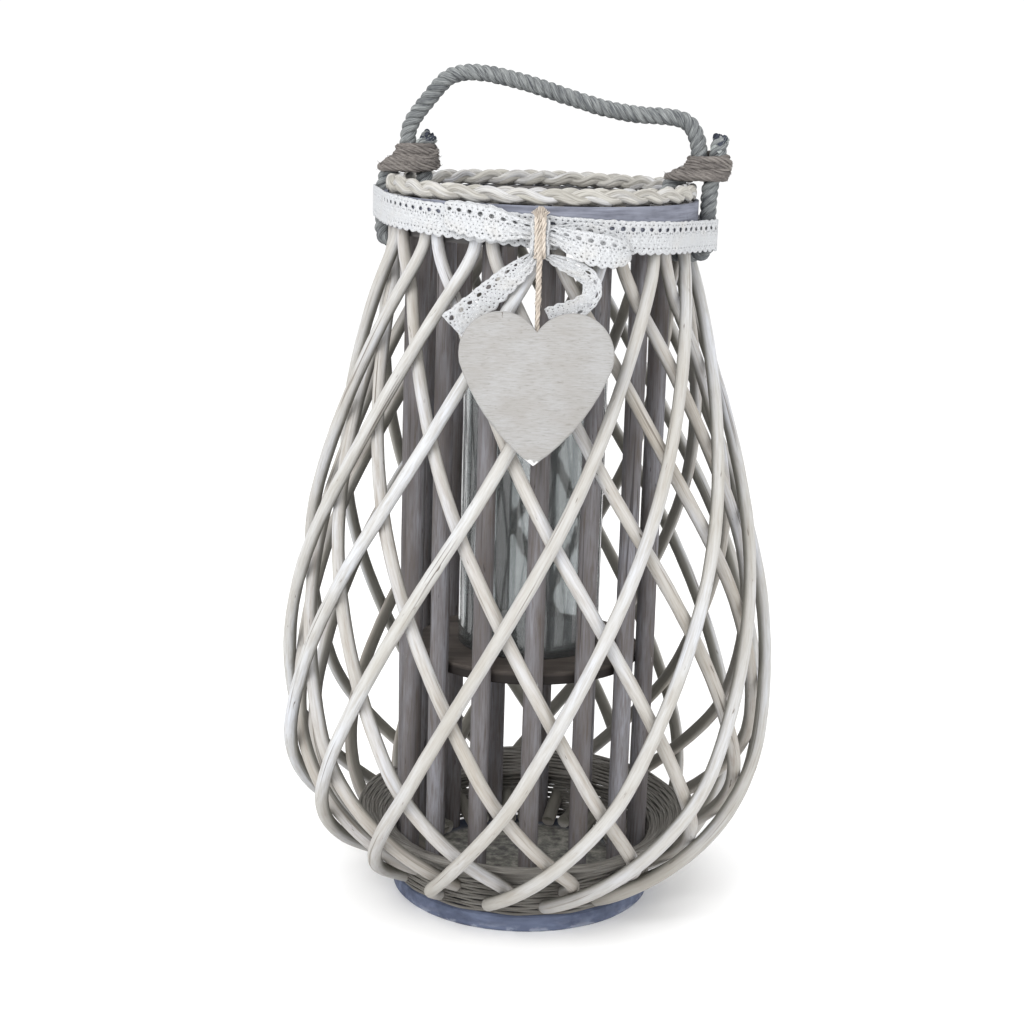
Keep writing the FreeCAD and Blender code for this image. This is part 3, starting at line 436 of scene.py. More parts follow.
# Half the distance between the rods of a pair at the hoop, and from a post's axis to a rod's tail.
PAIR_HALF, TAIL_CLEAR = 5.0, 11.3
PAIR_HALF_ANGLE = math.asin(PAIR_HALF / ROD_TOP_RADIUS)
TAIL_HALF_ANGLE = PAIR_PITCH / 2 - math.asin(TAIL_CLEAR / POST_RING)
BOWL_CENTRE = BELLY_RADIUS - BOWL
BELLY_HEIGHT = FOOT_HEIGHT + math.sqrt((BOWL - FOOT_BEND) ** 2 - (OUTER_TAIL_START - BOWL_CENTRE) ** 2)
NECK_REACH = ROD_TOP_RADIUS + NECK_BEND - (BELLY_RADIUS - SHOULDER)
NECK_RISE = HOOP_BOTTOM - BELLY_HEIGHT
CONE_SLOPE = (math.atan2(NECK_RISE, NECK_REACH)
              - math.acos((SHOULDER + NECK_BEND) / math.hypot(NECK_REACH, NECK_RISE)))


def side_runs(inward):
    """A layer's side view from the top down, as (length, bend) runs."""
    shoulder, bowl = SHOULDER - inward, BOWL - inward
    neck_gap = shoulder + NECK_BEND - NECK_REACH * math.cos(CONE_SLOPE)
    bend_height = BELLY_HEIGHT + neck_gap / math.sin(CONE_SLOPE)
    cone_rise = bend_height - BELLY_HEIGHT - (NECK_BEND + shoulder) * math.sin(CONE_SLOPE)
    runs = [(HOOP_TOP - bend_height, 0), (NECK_BEND * CONE_SLOPE, 1 / NECK_BEND),
            (cone_rise / math.cos(CONE_SLOPE), 0), (shoulder * CONE_SLOPE, -1 / shoulder)]
    if inward:
        across = INNER_TAIL_END - BOWL_CENTRE
        down = BELLY_HEIGHT - INNER_TAIL_HEIGHT
        away = math.hypot(across, down)
        turn = math.atan2(down, across) - math.acos(bowl / away)
        return runs + [(bowl * turn, -1 / bowl), (math.sqrt(away ** 2 - bowl ** 2), 0)]
    turn = math.acos((OUTER_TAIL_START - BOWL_CENTRE) / (bowl - FOOT_BEND))
    return runs + [(bowl * turn, -1 / bowl), (FOOT_BEND * (math.pi / 2 - turn), -1 / FOOT_BEND),
                   (OUTER_TAIL_LENGTH, 0)]


def side_at(runs, distance):
    """Radius and height at a distance from the rod's top."""
    radius, height, lean = ROD_TOP_RADIUS, HOOP_TOP, 0.0
    for length, bend in runs:
        step = min(distance, length)
        if bend:
            radius += (math.cos(lean) - math.cos(lean + step * bend)) / bend
            height -= (math.sin(lean + step * bend) - math.sin(lean)) / bend
            lean += step * bend
        else:
            radius += step * math.sin(lean)
            height -= step * math.cos(lean)
        distance -= step
    return radius, height


def held(share):
    """A share kept between 0 and 1."""
    return min(max(share, 0.0), 1.0)


def ease(share):
    share = held(share)
    return share * share * (3 - 2 * share)


def around(radius, angle, height):
    """A point in metres from a radius and height in mm and an angle from the front."""
    return Vector((radius * math.sin(angle), -radius * math.cos(angle), height)) * MM


def rod_line(inward, way, angle, steps=170):
    """Points along one rod, from its top."""
    runs = side_runs(inward)
    whole = sum(length for length, _ in runs)
    belly_at = sum(length for length, _ in runs[:4])
    tail_at = whole - runs[-1][0]
    weights = []
    for index in range(steps):
        distance = (index + 0.5) * whole / steps
        sweep = 1 + (BOWL_SWEEP - 1) * ease((distance - belly_at) / TWIST_RAMP)
        eased = held((distance - EASE_START) / EASE_LENGTH)
        neck = ease((distance - TWIST_START) / NECK_RAMP) * (1 - EASE_SHARE * math.sin(math.pi * eased) ** 2)
        weight = neck * sweep * ease((tail_at - distance) / TWIST_RAMP)
        weights.append(weight / side_at(runs, distance)[0])
    twist = TWIST_PITCHES * PAIR_PITCH + TAIL_HALF_ANGLE - PAIR_HALF_ANGLE
    strength = way * twist / sum(weights)
    turn = angle + way * PAIR_HALF_ANGLE
    line = []
    for index in range(steps + 1):
        radius, height = side_at(runs, index * whole / steps)
        line.append(around(radius, turn, height))
        turn += strength * weights[min(index, steps - 1)]
    return line


# %% Make the rods
ROD_START, ROD_END = 4.0, 4.75
# Each layer: how far it lies inside the outer one, which way it leans, its finish and first seed.
ROD_LAYERS = {"outer": (0, -1, outer_willow, 1), "inner": (LAYER_STEP, 1, inner_willow, 20)}
for layer, (inward, way, finish, first_seed) in ROD_LAYERS.items():
    for index, angle in enumerate(PAIR_ANGLES):
        rod = strands(f"{layer}_willow_{index + 1:02d}", [rod_line(inward, way, angle)], ROD_START, ROD_END,
                      finish, sides=14, uneven=0.9, lumps=0.35, seed=index + first_seed)
        fit(rod, "frame", f"willow_{layer}", f"{layer}_rod_{index + 1:02d}")
print("rods:", len(ROD_LAYERS) * PAIR_COUNT, "faces each:", len(rod.data.polygons))

# %% [markdown]
# ## Upright posts
# Fifteen stained sticks stand inside the rods. They are round and nearly straight, so the same tree
# makes them from straight lines with a slight bow.

# %% Make the posts
POST_LOW, POST_LENGTH, POST_STEPS = 12, 473, 24
POST_BOW = 0.5
POST_START, POST_END = 6.4, 6.3
post_lines = []
for index, angle in enumerate(PAIR_ANGLES):
    line = []
    for step in range(POST_STEPS + 1):
        bow = POST_BOW * noise.noise(Vector((index * 3.1, step * 0.35, 0)))
        line.append(around(POST_RING + bow, angle, POST_LOW + step * POST_LENGTH / POST_STEPS))
    post_lines.append(line)
posts = strands("cage_sticks", post_lines, POST_START, POST_END, post_willow, sides=18, uneven=0.5, lumps=0.3,
                seed=7)
fit(posts, "frame", "post_wood", "cage_posts")
print("posts:", len(post_lines))

# %% [markdown]
# ## Woven ring and plaited rim
# Fine strands are packed round the bottom of the bowl, over and under in turn, so close that hardly
# any light comes through. The lowest rows go on down round the sticks to the plate. On the mouth lies
# a plait of three strands, each of two thick soft skeins. Both are closed lines round the axis.

# %% Woven ring
WEAVE_INSIDE, WEAVE_OUTSIDE = 91.6, 115.6
WEAVE_UPPER, WEAVE_UPPER_RISE = 44.8, 12.0
WEAVE_LOWER, WEAVE_LOWER_RISE = 37.2, 16.8
WEAVE_LINES, WEAVE_STEPS, WEAVE_RADIUS = 17, 150, 1.08
WEAVE_WAVE, STRAY_OUT, STRAY_UP = 0.45, 0.5, 0.6
FOOT_ROWS, FOOT_ROW_RADIUS, FOOT_ROW_LOW, FOOT_ROW_STEP = 11, 91.2, 14.0, 2.05
weave_rows = []
for index in range(WEAVE_LINES):
    share = index / (WEAVE_LINES - 1)
    radius = WEAVE_INSIDE + (WEAVE_OUTSIDE - WEAVE_INSIDE) * share
    upper, lower = WEAVE_UPPER + WEAVE_UPPER_RISE * share, WEAVE_LOWER + WEAVE_LOWER_RISE * share
    weave_rows += [(index, radius, height) for height in (upper, (upper + lower) / 2, lower)]
for index in range(FOOT_ROWS):
    weave_rows.append((index, FOOT_ROW_RADIUS, FOOT_ROW_LOW + FOOT_ROW_STEP * index))
weave_lines = []
for number, (index, radius, height) in enumerate(weave_rows):
    line = []
    for step in range(WEAVE_STEPS):
        angle = math.pi + step * math.tau / WEAVE_STEPS
        over = math.sin(PAIR_COUNT * (angle - FIRST_ANGLE) + math.pi * index)
        stray = noise.noise(Vector((number * 2.3, 4 * math.cos(angle), 4 * math.sin(angle))))
        line.append(around(radius + STRAY_OUT * stray, angle, height + WEAVE_WAVE * over + STRAY_UP * stray))
    weave_lines.append(line)
weave = strands("tray_ring", weave_lines, WEAVE_RADIUS, WEAVE_RADIUS, weave_willow, sides=6, uneven=0.5,
                seed=3, closed=True)
fit(weave, "frame", "weave", "tray_weave")

# %% Plaited rim
PLAIT_STRANDS, PLAIT_REPEATS, PLAIT_STEPS = 3, 10, 320
PLAIT_HEIGHT, SKEIN_RADIUS = 491.6, 2.75
# How far a strand swings sideways and up, and how far its two skeins lie apart.
PLAIT_SWING, PLAIT_LIFT, SKEIN_SPREAD, SKEIN_LIFT = 3.1, 1.9, 0.9, 1.3
plait_lines = []
for strand in range(PLAIT_STRANDS):
    for skein in (-1, 1):
        line = []
        for step in range(PLAIT_STEPS):
            angle = math.pi + step * math.tau / PLAIT_STEPS
            phase = angle * PLAIT_REPEATS + strand * math.tau / PLAIT_STRANDS
            across = PLAIT_SWING * math.sin(phase) + skein * SKEIN_SPREAD * math.cos(phase) ** 2
            lift = PLAIT_LIFT * math.sin(2 * phase) + skein * SKEIN_LIFT * math.sin(phase + 0.5)
            line.append(around(ROD_TOP_RADIUS + across, angle, PLAIT_HEIGHT + lift))
        plait_lines.append(line)
plait = strands("rim_plait", plait_lines, SKEIN_RADIUS, SKEIN_RADIUS, plait_willow, sides=10, uneven=1.4,
                lumps=0.5, seed=5, closed=True)
fit(plait, "frame", "plait", "plaited_rim")
print("weave lines:", len(weave_lines), "plait lines:", len(plait_lines))

# %% [markdown]
# ## Rope
# The rope has three strands laid round each other. Its line is a smooth curve through given points,
# and each strand winds round that line. The handle is one length from binding to binding. At
# each end the rope goes under the hoops and back up to a cut tail, whose fibres are pale and frayed.


# %% Lines for cords
def smooth_line(points, spacing):
    """Points every spacing mm along a smooth curve with these control points, in metres."""
    data = bpy.data.curves.new("guide", "CURVE")
    data.dimensions = "3D"
    spline = data.splines.new("NURBS")
    spline.points.add(len(points) - 1)
    for place, point in zip(spline.points, points):
        place.co = (*point, 1.0)
    spline.order_u = 3
    spline.use_endpoint_u = True
    spline.resolution_u = 24
    guide = add_object("guide", data)
    mesh = bpy.data.meshes.new_from_object(guide.evaluated_get(bpy.context.evaluated_depsgraph_get()))
    line = [vertex.co.copy() for vertex in mesh.vertices]
    bpy.data.objects.remove(guide)
    bpy.data.meshes.remove(mesh)
    return even_line(line, spacing)


def line_length(line):
    return sum((after - before).length for before, after in zip(line, line[1:]))


def even_line(line, spacing):
    """The same line with points an even step of about spacing mm apart."""
    whole = line_length(line)
    count = max(2, round(whole / (spacing * MM)))
    made = [line[0].copy()]
    walked, target = 0.0, whole / count
    for before, after in zip(line, line[1:]):
        step = (after - before).length
        while step > 0 and walked + step >= target - 1e-9 and len(made) <= count:
            made.append(before.lerp(after, (target - walked) / step))
            target += whole / count
        walked += step
    return made[:count + 1]


def frames(line):
    """A direction and two directions square to it at every point, without twist."""
    made = []
    side = None
    for index, point in enumerate(line):
        way = (line[min(index + 1, len(line) - 1)] - line[max(index - 1, 0)]).normalized()
        side = way.orthogonal() if side is None else side - way * side.dot(way)
        side.normalize()
        made.append((point, way, side.copy(), way.cross(side)))
    return made


def laid(line, count, offset, pitch, wander=0.0):
    """Lines of strands that wind round a line once in each pitch, an offset away from it, in mm."""
    step = line_length(line) / (len(line) - 1)
    lines = []
    for strand in range(count):
        made = []
        for index, (point, way, side, other) in enumerate(frames(line)):
            turn = math.tau * (index * step / (pitch * MM) + strand / count)
            away = offset * MM * (1 + wander * noise.noise(Vector((index * step * 90, strand * 7.3, 0))))
            made.append(point + (side * math.cos(turn) + other * math.sin(turn)) * away)
        lines.append(made)
    return lines


# A turn from one hair to the next that spreads hairs evenly round a line.
HAIR_TURN = 2.4


def hair(root, tip, share, lift):
    """A short line that is lifted, by a vector in mm, at a share of its way."""
    return [root, root.lerp(tip, share) + lift * MM, tip]


# %% [markdown]
# ### Rope and cord finishes
# Rope yarn is grey and soft, with fine fibres along each strand, faded in places and dark in others.
# Its cut ends are dark inside and pale round the edge. The binding cord is browner and rougher. Jute
# is a warm beige.


# %% Fibre finish
def fibre(name, light, middle, dark, depth):
    """Soft yarn: fibres along the strand, and slow changes of tone."""
    finish = Finish(name, 0.9, straight=True, Specular_IOR_Level=0.2)
    hairs = finish.noise((2200, 2200, 160), 4, 0.65)
    clouds = finish.noise((120, 120, 45), 3, 0.6)
    finish.colour(finish.ramp(hairs, (0.32, dark), (0.5, middle), (0.68, light)))
    finish.lay(light, clouds, 0.28, 0.48, 0.5, 0)
    finish.lay(dark, clouds, 0.5, 0.74, 0, 0.6)
    finish.bump(hairs, depth, 0.8)
    return finish.material


rope_yarn = fibre("rope_yarn", (154, 157, 156), (112, 115, 116), (54, 56, 62), 0.0008)
binding_yarn = fibre("binding_yarn", (139, 134, 129), (109, 104, 101), (62, 59, 58), 0.0006)
jute_yarn = fibre("jute_yarn", (208, 200, 190), (188, 178, 167), (146, 136, 125), 0.0004)
cut_end = fibre("cut_rope_end", (84, 88, 98), (48, 52, 62), (26, 28, 38), 0.0006)
pale_end = fibre("pale_rope_end", (176, 181, 180), (158, 163, 162), (122, 127, 126), 0.0006)

# %% Rope handle
EYE_TURNS = {"left": FIRST_ANGLE - 4.5 * PAIR_PITCH, "right": FIRST_ANGLE + 3.5 * PAIR_PITCH}
CARRY_TOP = {"left": 94.1, "right": 103.3}
OUTER_LEG, INNER_LEG = 110.8, 81.9
PIVOT_HEIGHT, HANDLE_FOOT = 521.7, 12
ROPE_RADIUS, ROPE_STRAND = 5.6, 2.66
ROPE_LAY = {"count": 3, "offset": 3.0, "pitch": 17, "wander": 0.1}
LINE_STEP = 0.9
# Points of the handle: the share of the way between both pivots, and the rise above them.
HANDLE_ROUTE = [(0.012, 9), (0.045, 18), (0.09, 29), (0.135, 39.5), (0.2, 42.8), (0.27, 42.3), (0.35, 39.5),
                (0.443, 35), (0.56, 28), (0.682, 21.5), (0.789, 18.5), (0.886, 18.5), (0.965, 15.5)]


def rope(name, line, seed):
    return strands(name, laid(line, **ROPE_LAY), ROPE_STRAND, ROPE_STRAND, rope_yarn, uneven=0.4, lumps=0.5,
                   seed=seed)


left_pivot, right_pivot = [around(CARRY_TOP[side], turn, PIVOT_HEIGHT) for side, turn in EYE_TURNS.items()]
handle_points = [left_pivot - UP * HANDLE_FOOT * MM, left_pivot]
for share, rise in HANDLE_ROUTE:
    handle_points.append(left_pivot.lerp(right_pivot, share) + UP * rise * MM)
handle_points += [right_pivot, right_pivot - UP * HANDLE_FOOT * MM]
handle_line = smooth_line(handle_points, LINE_STEP)
handle_rope = rope("rope_handle", handle_line, 11)
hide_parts("handle_rope")
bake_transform(handle_rope)
tuple(handle_line[0])
line_length(handle_line)
[tuple(point) for point in handle_line]
print("handle rope length:", round(line_length(handle_line), 4))

# %% Rope eyes and their cut tails
LEAN_LOW, LEAN_HIGH, EYE_START = 496.9, 507.9, 512
EYE_HEIGHT, EYE_BOTTOM, EYE_MIDDLE = 465.8, 451.4, 96.35
# The leg that carries the handle, and the leg that ends in the cut tail.
CARRY_LEG = {"left": OUTER_LEG, "right": INNER_LEG}
TAIL_LEG = {"left": INNER_LEG, "right": OUTER_LEG}
TAIL_TOP = {"left": 82.3, "right": 115.1}
TAIL_BASE = {"left": 517.5, "right": 519.5}
TAIL_END = {"left": 78.3, "right": 116.6}
TAIL_TIP = {"left": 521.5, "right": 527.0}
# Bundles of loose fibres over a cut end: stations along the rope from its end, and their finish.
END_BUNDLES = {"cut": ((-4.5, -2.4, -0.8, 0.4, 0.9), cut_end), "pale": ((-8.6, -7.2, -5.8, -4.4), pale_end)}
TAIL_FRAYS, FRAY_BAND, FRAY_ROOT = 120, 4.5, 4.4
for side, turn in EYE_TURNS.items():
    route = [(CARRY_TOP[side], EYE_START), (CARRY_TOP[side], LEAN_HIGH), (CARRY_LEG[side], LEAN_LOW),
             (CARRY_LEG[side], EYE_HEIGHT), (CARRY_LEG[side], EYE_BOTTOM), (EYE_MIDDLE, EYE_BOTTOM),
             (TAIL_LEG[side], EYE_BOTTOM), (TAIL_LEG[side], EYE_HEIGHT), (TAIL_LEG[side], LEAN_LOW),
             (TAIL_TOP[side], LEAN_HIGH), (TAIL_TOP[side], TAIL_BASE[side]), (TAIL_END[side], TAIL_TIP[side])]
    line = smooth_line([around(radius, turn, height) for radius, height in route], LINE_STEP)
    fit(rope(f"rope_end_{side}", line, 12), "frame", "rope", f"rope_eye_{side}")
    way = (line[-1] - line[-4]).normalized()
    for part, (stations, yarn) in END_BUNDLES.items():
        stub = [line[-1] + way * station * MM for station in stations]
        bundle = strands(f"rope_{part}_{side}", laid(stub, 5, 3.1, 30, 0.3), 2.3, 2.1, yarn, uneven=1.2,
                         lumps=1.4, seed=13)
        fit(bundle, "frame", "rope")
    # The cut end has frayed on the side away from the handle.
    across = way.orthogonal().normalized()
    beside = way.cross(across)
    away = around(TAIL_TOP[side] - CARRY_TOP[side], turn, 0).normalized()
    fray_lines = []
    for index in range(TAIL_FRAYS):
        out = across * math.cos(index * HAIR_TURN) + beside * math.sin(index * HAIR_TURN)
        if out.dot(away) < 0:
            continue
        root = line[-1] + (way * (0.6 - FRAY_BAND * (index % 8) / 8) + out * FRAY_ROOT) * MM
        tip = root + (way * (0.6 + 0.25 * (index % 5)) + out * (0.7 + 0.3 * (index % 4))) * MM
        fray_lines.append(hair(root, tip, 0.5, out * 0.3))
    frays = strands(f"rope_frays_{side}", fray_lines, 0.3, 0.1, pale_end, sides=4, seed=14)
    fit(frays, "frame", "rope")
    print("rope end", side, "points:", len(line), "frays:", len(fray_lines))

# %% [markdown]
# ### Bindings
# A rough skein is wound round both legs of each rope end. The tight turns at the top hold the legs
# side by side. Below them slack turns spread with the legs and sag on to the rim. Each turn is a
# loose bundle of thin strands, because the skein isn't twisted, and its fibres fray.

# %% Make the bindings
WIDEST_HALF = 9.2
BINDING_STEPS, BINDING_RADIUS = 48, 1.05
BINDING_START = {"left": 1.5 * math.pi, "right": 0.5 * math.pi}
FRAY_COUNT, FRAY_TOP = 360, 511.0
# Each winding: its lowest and highest height, turns, width of the loop and slant.
WINDINGS = [(507.0, 515.5, 3, 6.2, 0.8), (503.5, 510.5, 2, 7.4, 3.0), (504.5, 511.5, 2, 8.0, -3.4),
            (501.4, 505.5, 2, 8.4, 1.2), (500.6, 502.0, 1, 9.6, -0.8)]


def legs_at(side, height):
    """The middle between both legs, and half the distance between them, at a height above the rim."""
    low = held((LEAN_HIGH - height) / (LEAN_HIGH - LEAN_LOW))
    carry = CARRY_TOP[side] + (CARRY_LEG[side] - CARRY_TOP[side]) * low
    tail = TAIL_TOP[side] + (TAIL_LEG[side] - TAIL_TOP[side]) * low
    return (carry + tail) / 2, min(abs(carry - tail) / 2, WIDEST_HALF)


for side, turn in EYE_TURNS.items():
    outward = around(1, turn, 0).normalized()
    sideways = UP.cross(outward)
    binding_lines = []
    for number, (low, high, turns, wide, slant) in enumerate(WINDINGS):
        line = []
        for step in range(turns * BINDING_STEPS + 4):
            angle = BINDING_START[side] + step * math.tau / BINDING_STEPS
            stray = noise.noise(Vector((step * 0.09, number * 3.1, turn)))
            climb = (high - low) * step / (turns * BINDING_STEPS)
            height = low + climb + slant * math.sin(angle) + 0.9 * stray
            middle, half = legs_at(side, height)
            reach = half * max(-1, min(1, 2.2 * math.cos(angle))) + wide * math.cos(angle)
            spot = around(middle, turn, height)
            line.append(spot + outward * reach * MM + sideways * wide * math.sin(angle) * MM)
        binding_lines += laid(even_line(line, LINE_STEP), 5, 1.4, 24, 0.5)
    binding = strands(f"binding_{side}", binding_lines, BINDING_RADIUS, BINDING_RADIUS, binding_yarn, sides=6,
                      uneven=0.8, lumps=0.7, seed=17)
    fit(binding, "frame", "binding_cord", f"seizing_{side}")
    fray_lines = []
    for index in range(FRAY_COUNT):
        strand = binding_lines[index * 7 % len(binding_lines)]
        root = strand[int(index * 0.618 % 1 * len(strand))]
        if root.z > FRAY_TOP * MM:
            continue
        out = (root - around(legs_at(side, root.z / MM)[0], turn, root.z / MM)).normalized()
        stray = Vector([noise.noise(Vector((index * 1.7, axis * 5.3, 0.4))) for axis in range(3)])
        tip = root + (out * (1.0 + 1.6 * abs(stray.x)) + stray * 4.5) * MM
        fray_lines.append(hair(root, tip, 0.55, out * 0.4))
    frays = strands(f"binding_frays_{side}", fray_lines, 0.24, 0.08, binding_yarn, sides=4, seed=18)
    fit(frays, "frame", "binding_cord")
    print("binding", side, "strands:", len(binding_lines), "frays:", len(fray_lines))

# %% [markdown]
# ## Lace
# The ribbon is crocheted cotton. One repeat of it is cut from a flat outline: a row of large eyelets,
# small holes between them, pinholes and scalloped edges. Repeats laid end to end make a ribbon, and a
# placing rule bends it round the hoop, into a bow loop or along a tail.

# %% Lace finish
lace_cotton = Finish("lace_cotton", 0.9, straight=True, Specular_IOR_Level=0.15)
lace_rows = lace_cotton.node("ShaderNodeTexWave", {"Vector": lace_cotton.place(), "Scale": 330.0,
                                                   "Distortion": 3.0, "Detail": 2.0}).outputs["Fac"]
lace_threads = lace_cotton.noise((1400, 1900, 1), 3, 0.6)
lace_clouds = lace_cotton.noise((60, 60, 1), 2)
lace_cotton.colour(lace_cotton.ramp(lace_threads, (0.3, (168, 169, 170)), (0.6, (202, 204, 207))))
lace_cotton.lay((190, 184, 174), lace_clouds, 0.5, 0.9, 0, 0.4)
lace_cotton.bump(lace_rows, 0.0004, 0.7)
lace_cotton.bump(lace_threads, 0.0004, 0.9)

# %% One repeat of the lace
LACE_WIDTH, LACE_REPEAT, LACE_THICKNESS = 21.0, 7.6, 0.7
EDGE_STEPS, SIDE_STEPS = 10, 9
LOW_SCALLOP, HIGH_SCALLOP = 1.7, 0.5
FILL_COLUMNS, FILL_ROWS, FILL_CLEAR, FILL_EDGE = 5, 11, 0.5, 1.9
# Holes as (share of the repeat, height, half width, half height, sides).
LACE_HOLES = [(0.5, 5.2, 1.85, 1.4, 10), (0.24, 8.1, 0.7, 0.4, 6), (0.74, 8.1, 0.7, 0.4, 6),
              (0.11, 2.9, 0.55, 0.75, 6), (0.89, 2.9, 0.55, 0.75, 6), (0.5, 2.3, 0.5, 0.5, 6),
              (0.3, 0.5, 0.48, 0.42, 5), (0.7, 0.5, 0.48, 0.42, 5), (0.5, -1.7, 0.42, 0.38, 5),
              (0.14, -1.9, 0.4, 0.36, 5), (0.86, -3.9, 0.42, 0.36, 5), (0.34, -4.0, 0.4, 0.36, 5),
              (0.26, -6.4, 0.7, 0.52, 6), (0.74, -6.4, 0.7, 0.52, 6), (0.5, -8.3, 0.5, 0.42, 6)]


def lace_repeat():
    """Flat points (mm) and triangles of one repeat."""
    half = LACE_WIDTH / 2
    low, high = [], []
    for step in range(EDGE_STEPS + 1):
        bulge = math.sin(math.pi * step / EDGE_STEPS)
        low.append((LACE_REPEAT * step / EDGE_STEPS, -half + LOW_SCALLOP * (1 - bulge)))
        high.append((LACE_REPEAT * step / EDGE_STEPS, half - HIGH_SCALLOP * (1 - bulge)))
    heights = [low[0][1] + (high[0][1] - low[0][1]) * step / SIDE_STEPS for step in range(1, SIDE_STEPS)]
    loops = [low + [(LACE_REPEAT, y) for y in heights] + high[::-1] + [(0.0, y) for y in reversed(heights)]]
    for share, y, wide, tall, sides in LACE_HOLES:
        turns = [math.tau * (side + 0.5) / sides for side in range(sides)]
        loops.append([(share * LACE_REPEAT + wide * math.cos(turn), y + tall * math.sin(turn))
                      for turn in turns])
    points, edges = [], []
    for loop in loops:
        first = len(points)
        points += loop
        edges += [(first + index, first + (index + 1) % len(loop)) for index in range(len(loop))]
    for column in range(1, FILL_COLUMNS):
        for row in range(1, FILL_ROWS):
            spot = (LACE_REPEAT * column / FILL_COLUMNS, -half + LACE_WIDTH * row / FILL_ROWS)
            gaps = [math.hypot(spot[0] - share * LACE_REPEAT, spot[1] - y) - max(wide, tall)
                    for share, y, wide, tall, _ in LACE_HOLES]
            if min(gaps) > FILL_CLEAR and abs(spot[1]) < half - FILL_EDGE:
                points.append(spot)
    cut = geometry.delaunay_2d_cdt([Vector(point) for point in points], edges, [], 1, 1e-5)
    flat, triangles = cut[0], cut[2]
    kept = []
    for triangle in triangles:
        middle = sum((flat[index] for index in triangle), Vector((0, 0))) / 3
        inside = [math.hypot((middle.x - share * LACE_REPEAT) / wide, (middle.y - y) / tall)
                  < math.cos(math.pi / sides) for share, y, wide, tall, sides in LACE_HOLES]
        if not any(inside):
            kept.append(list(triangle))
    return [tuple(point) for point in flat], kept


lace_points, lace_triangles = lace_repeat()
print("lace repeat:", len(lace_points), "points", len(lace_triangles), "triangles")


# %% Ribbon along a placing rule
def smooth_mesh(name, corners, faces, straight, material, clean):
    """A smooth mesh object. Straight gives the coordinates of its grain, clean mends its faces."""
    mesh = bpy.data.meshes.new(name)
    mesh.from_pydata(corners, [], faces)
    mesh.attributes.new("straight", "FLOAT_VECTOR", "POINT")
    mesh.attributes["straight"].data.foreach_set("vector", [value for spot in straight for value in spot])
    body = bmesh.new()
    body.from_mesh(mesh)
    clean(body)
    body.to_mesh(mesh)
    body.free()
    mesh.materials.append(material)
    mesh.shade_smooth()
    return add_object(name, mesh)


def weld(body):
    bmesh.ops.remove_doubles(body, verts=body.verts, dist=0.02 * MM)


def lace_ribbon(name, place, length):
    """A ribbon of whole repeats. place(share, y) gives the point in metres."""
    repeats = round(length / LACE_REPEAT)
    corners, faces, flat = [], [], []
    for repeat in range(repeats):
        first = len(corners)
        for x, y in lace_points:
            share = (repeat + x / LACE_REPEAT) / repeats
            stray = noise.noise_vector(Vector((share * length * 0.4, y * 0.4, 0)))
            corners.append(place(share + 0.6 * stray.x / length, y + 0.6 * stray.y))
            flat.append((share * length * MM, y * MM, 0.0))
        faces += [[first + index for index in triangle] for triangle in lace_triangles]
    ribbon = smooth_mesh(name, corners, faces, flat, lace_cotton.material, weld)
    thick = ribbon.modifiers.new("thickness", "SOLIDIFY")
    thick.thickness = LACE_THICKNESS * MM
    thick.offset = 0
    return as_mesh(ribbon, name)


def lace_piece(name, place, length, lay, rests_on, filled, *nodes):
    """A ribbon of a flat length on the frame. Filled, the share of it that isn't holes, is not used."""
    ribbon = lace_ribbon(name, place, length)
    fit(ribbon, "frame", "lace", *nodes)
    print(name, "length:", round(length, 1))


def along(line, share):
    """The point at a share of a line of even points."""
    place = held(share) * (len(line) - 1)
    index = min(int(place), len(line) - 2)
    return line[index].lerp(line[index + 1], place - index)


# %% Lace round the hoop
LACE_HEIGHT = 471.0
LACE_TILT = math.tan(math.radians(3.4))
HOOP_OUTSIDE, LACE_AWAY = 104.3, 0.8
BELT_STEPS = 720
circles = [(Vector((0, 0, 0)), (HOOP_OUTSIDE + LACE_AWAY) * MM)]
circles += [(around(OUTER_LEG, turn, 0), (ROPE_RADIUS + LACE_AWAY) * MM) for turn in EYE_TURNS.values()]
belt = []
for step in range(BELT_STEPS + 1):
    angle = math.pi / 2 + step * math.tau / BELT_STEPS
    outward = Vector((math.cos(angle), math.sin(angle), 0))
    middle, radius = max(circles, key=lambda circle: circle[0].dot(outward) + circle[1])
    belt.append(middle + outward * radius)
belt = even_line(belt, 1.0)


def on_belt(share, y):
    spot = along(belt, share)
    away = spot.normalized() * (0.3 + 0.35 * noise.noise(spot * 45 + Vector((0, 0, y * 0.05)))) * MM
    height = LACE_HEIGHT * MM - LACE_TILT * spot.x + y * MM
    return spot + away + UP * height


lace_piece("lace_belt", on_belt, line_length(belt) / MM, "stretched", "hoop_band", 0.8, "lace_band")

# %% [markdown]
# ### Bow
# Each loop of the bow leaves the knot gathered, opens to its full width and comes back behind itself.
# The tails fall from under the knot: one to the left, one to the right that curls back.

# %% Bow loops
LACE_FACE = 105.7
KNOT_MIDDLE, KNOT_BOTTOM = 468.0, 458.0
BOW_HEIGHT = 471.5
# Where a loop stops being gathered, measured across from the middle, and the length of its round end.
GATHER_END, GATHER_FADE, ROUND_END = 5, 27, 18
GATHER_SHARE, PLEAT_TURN = 0.48, 1.1
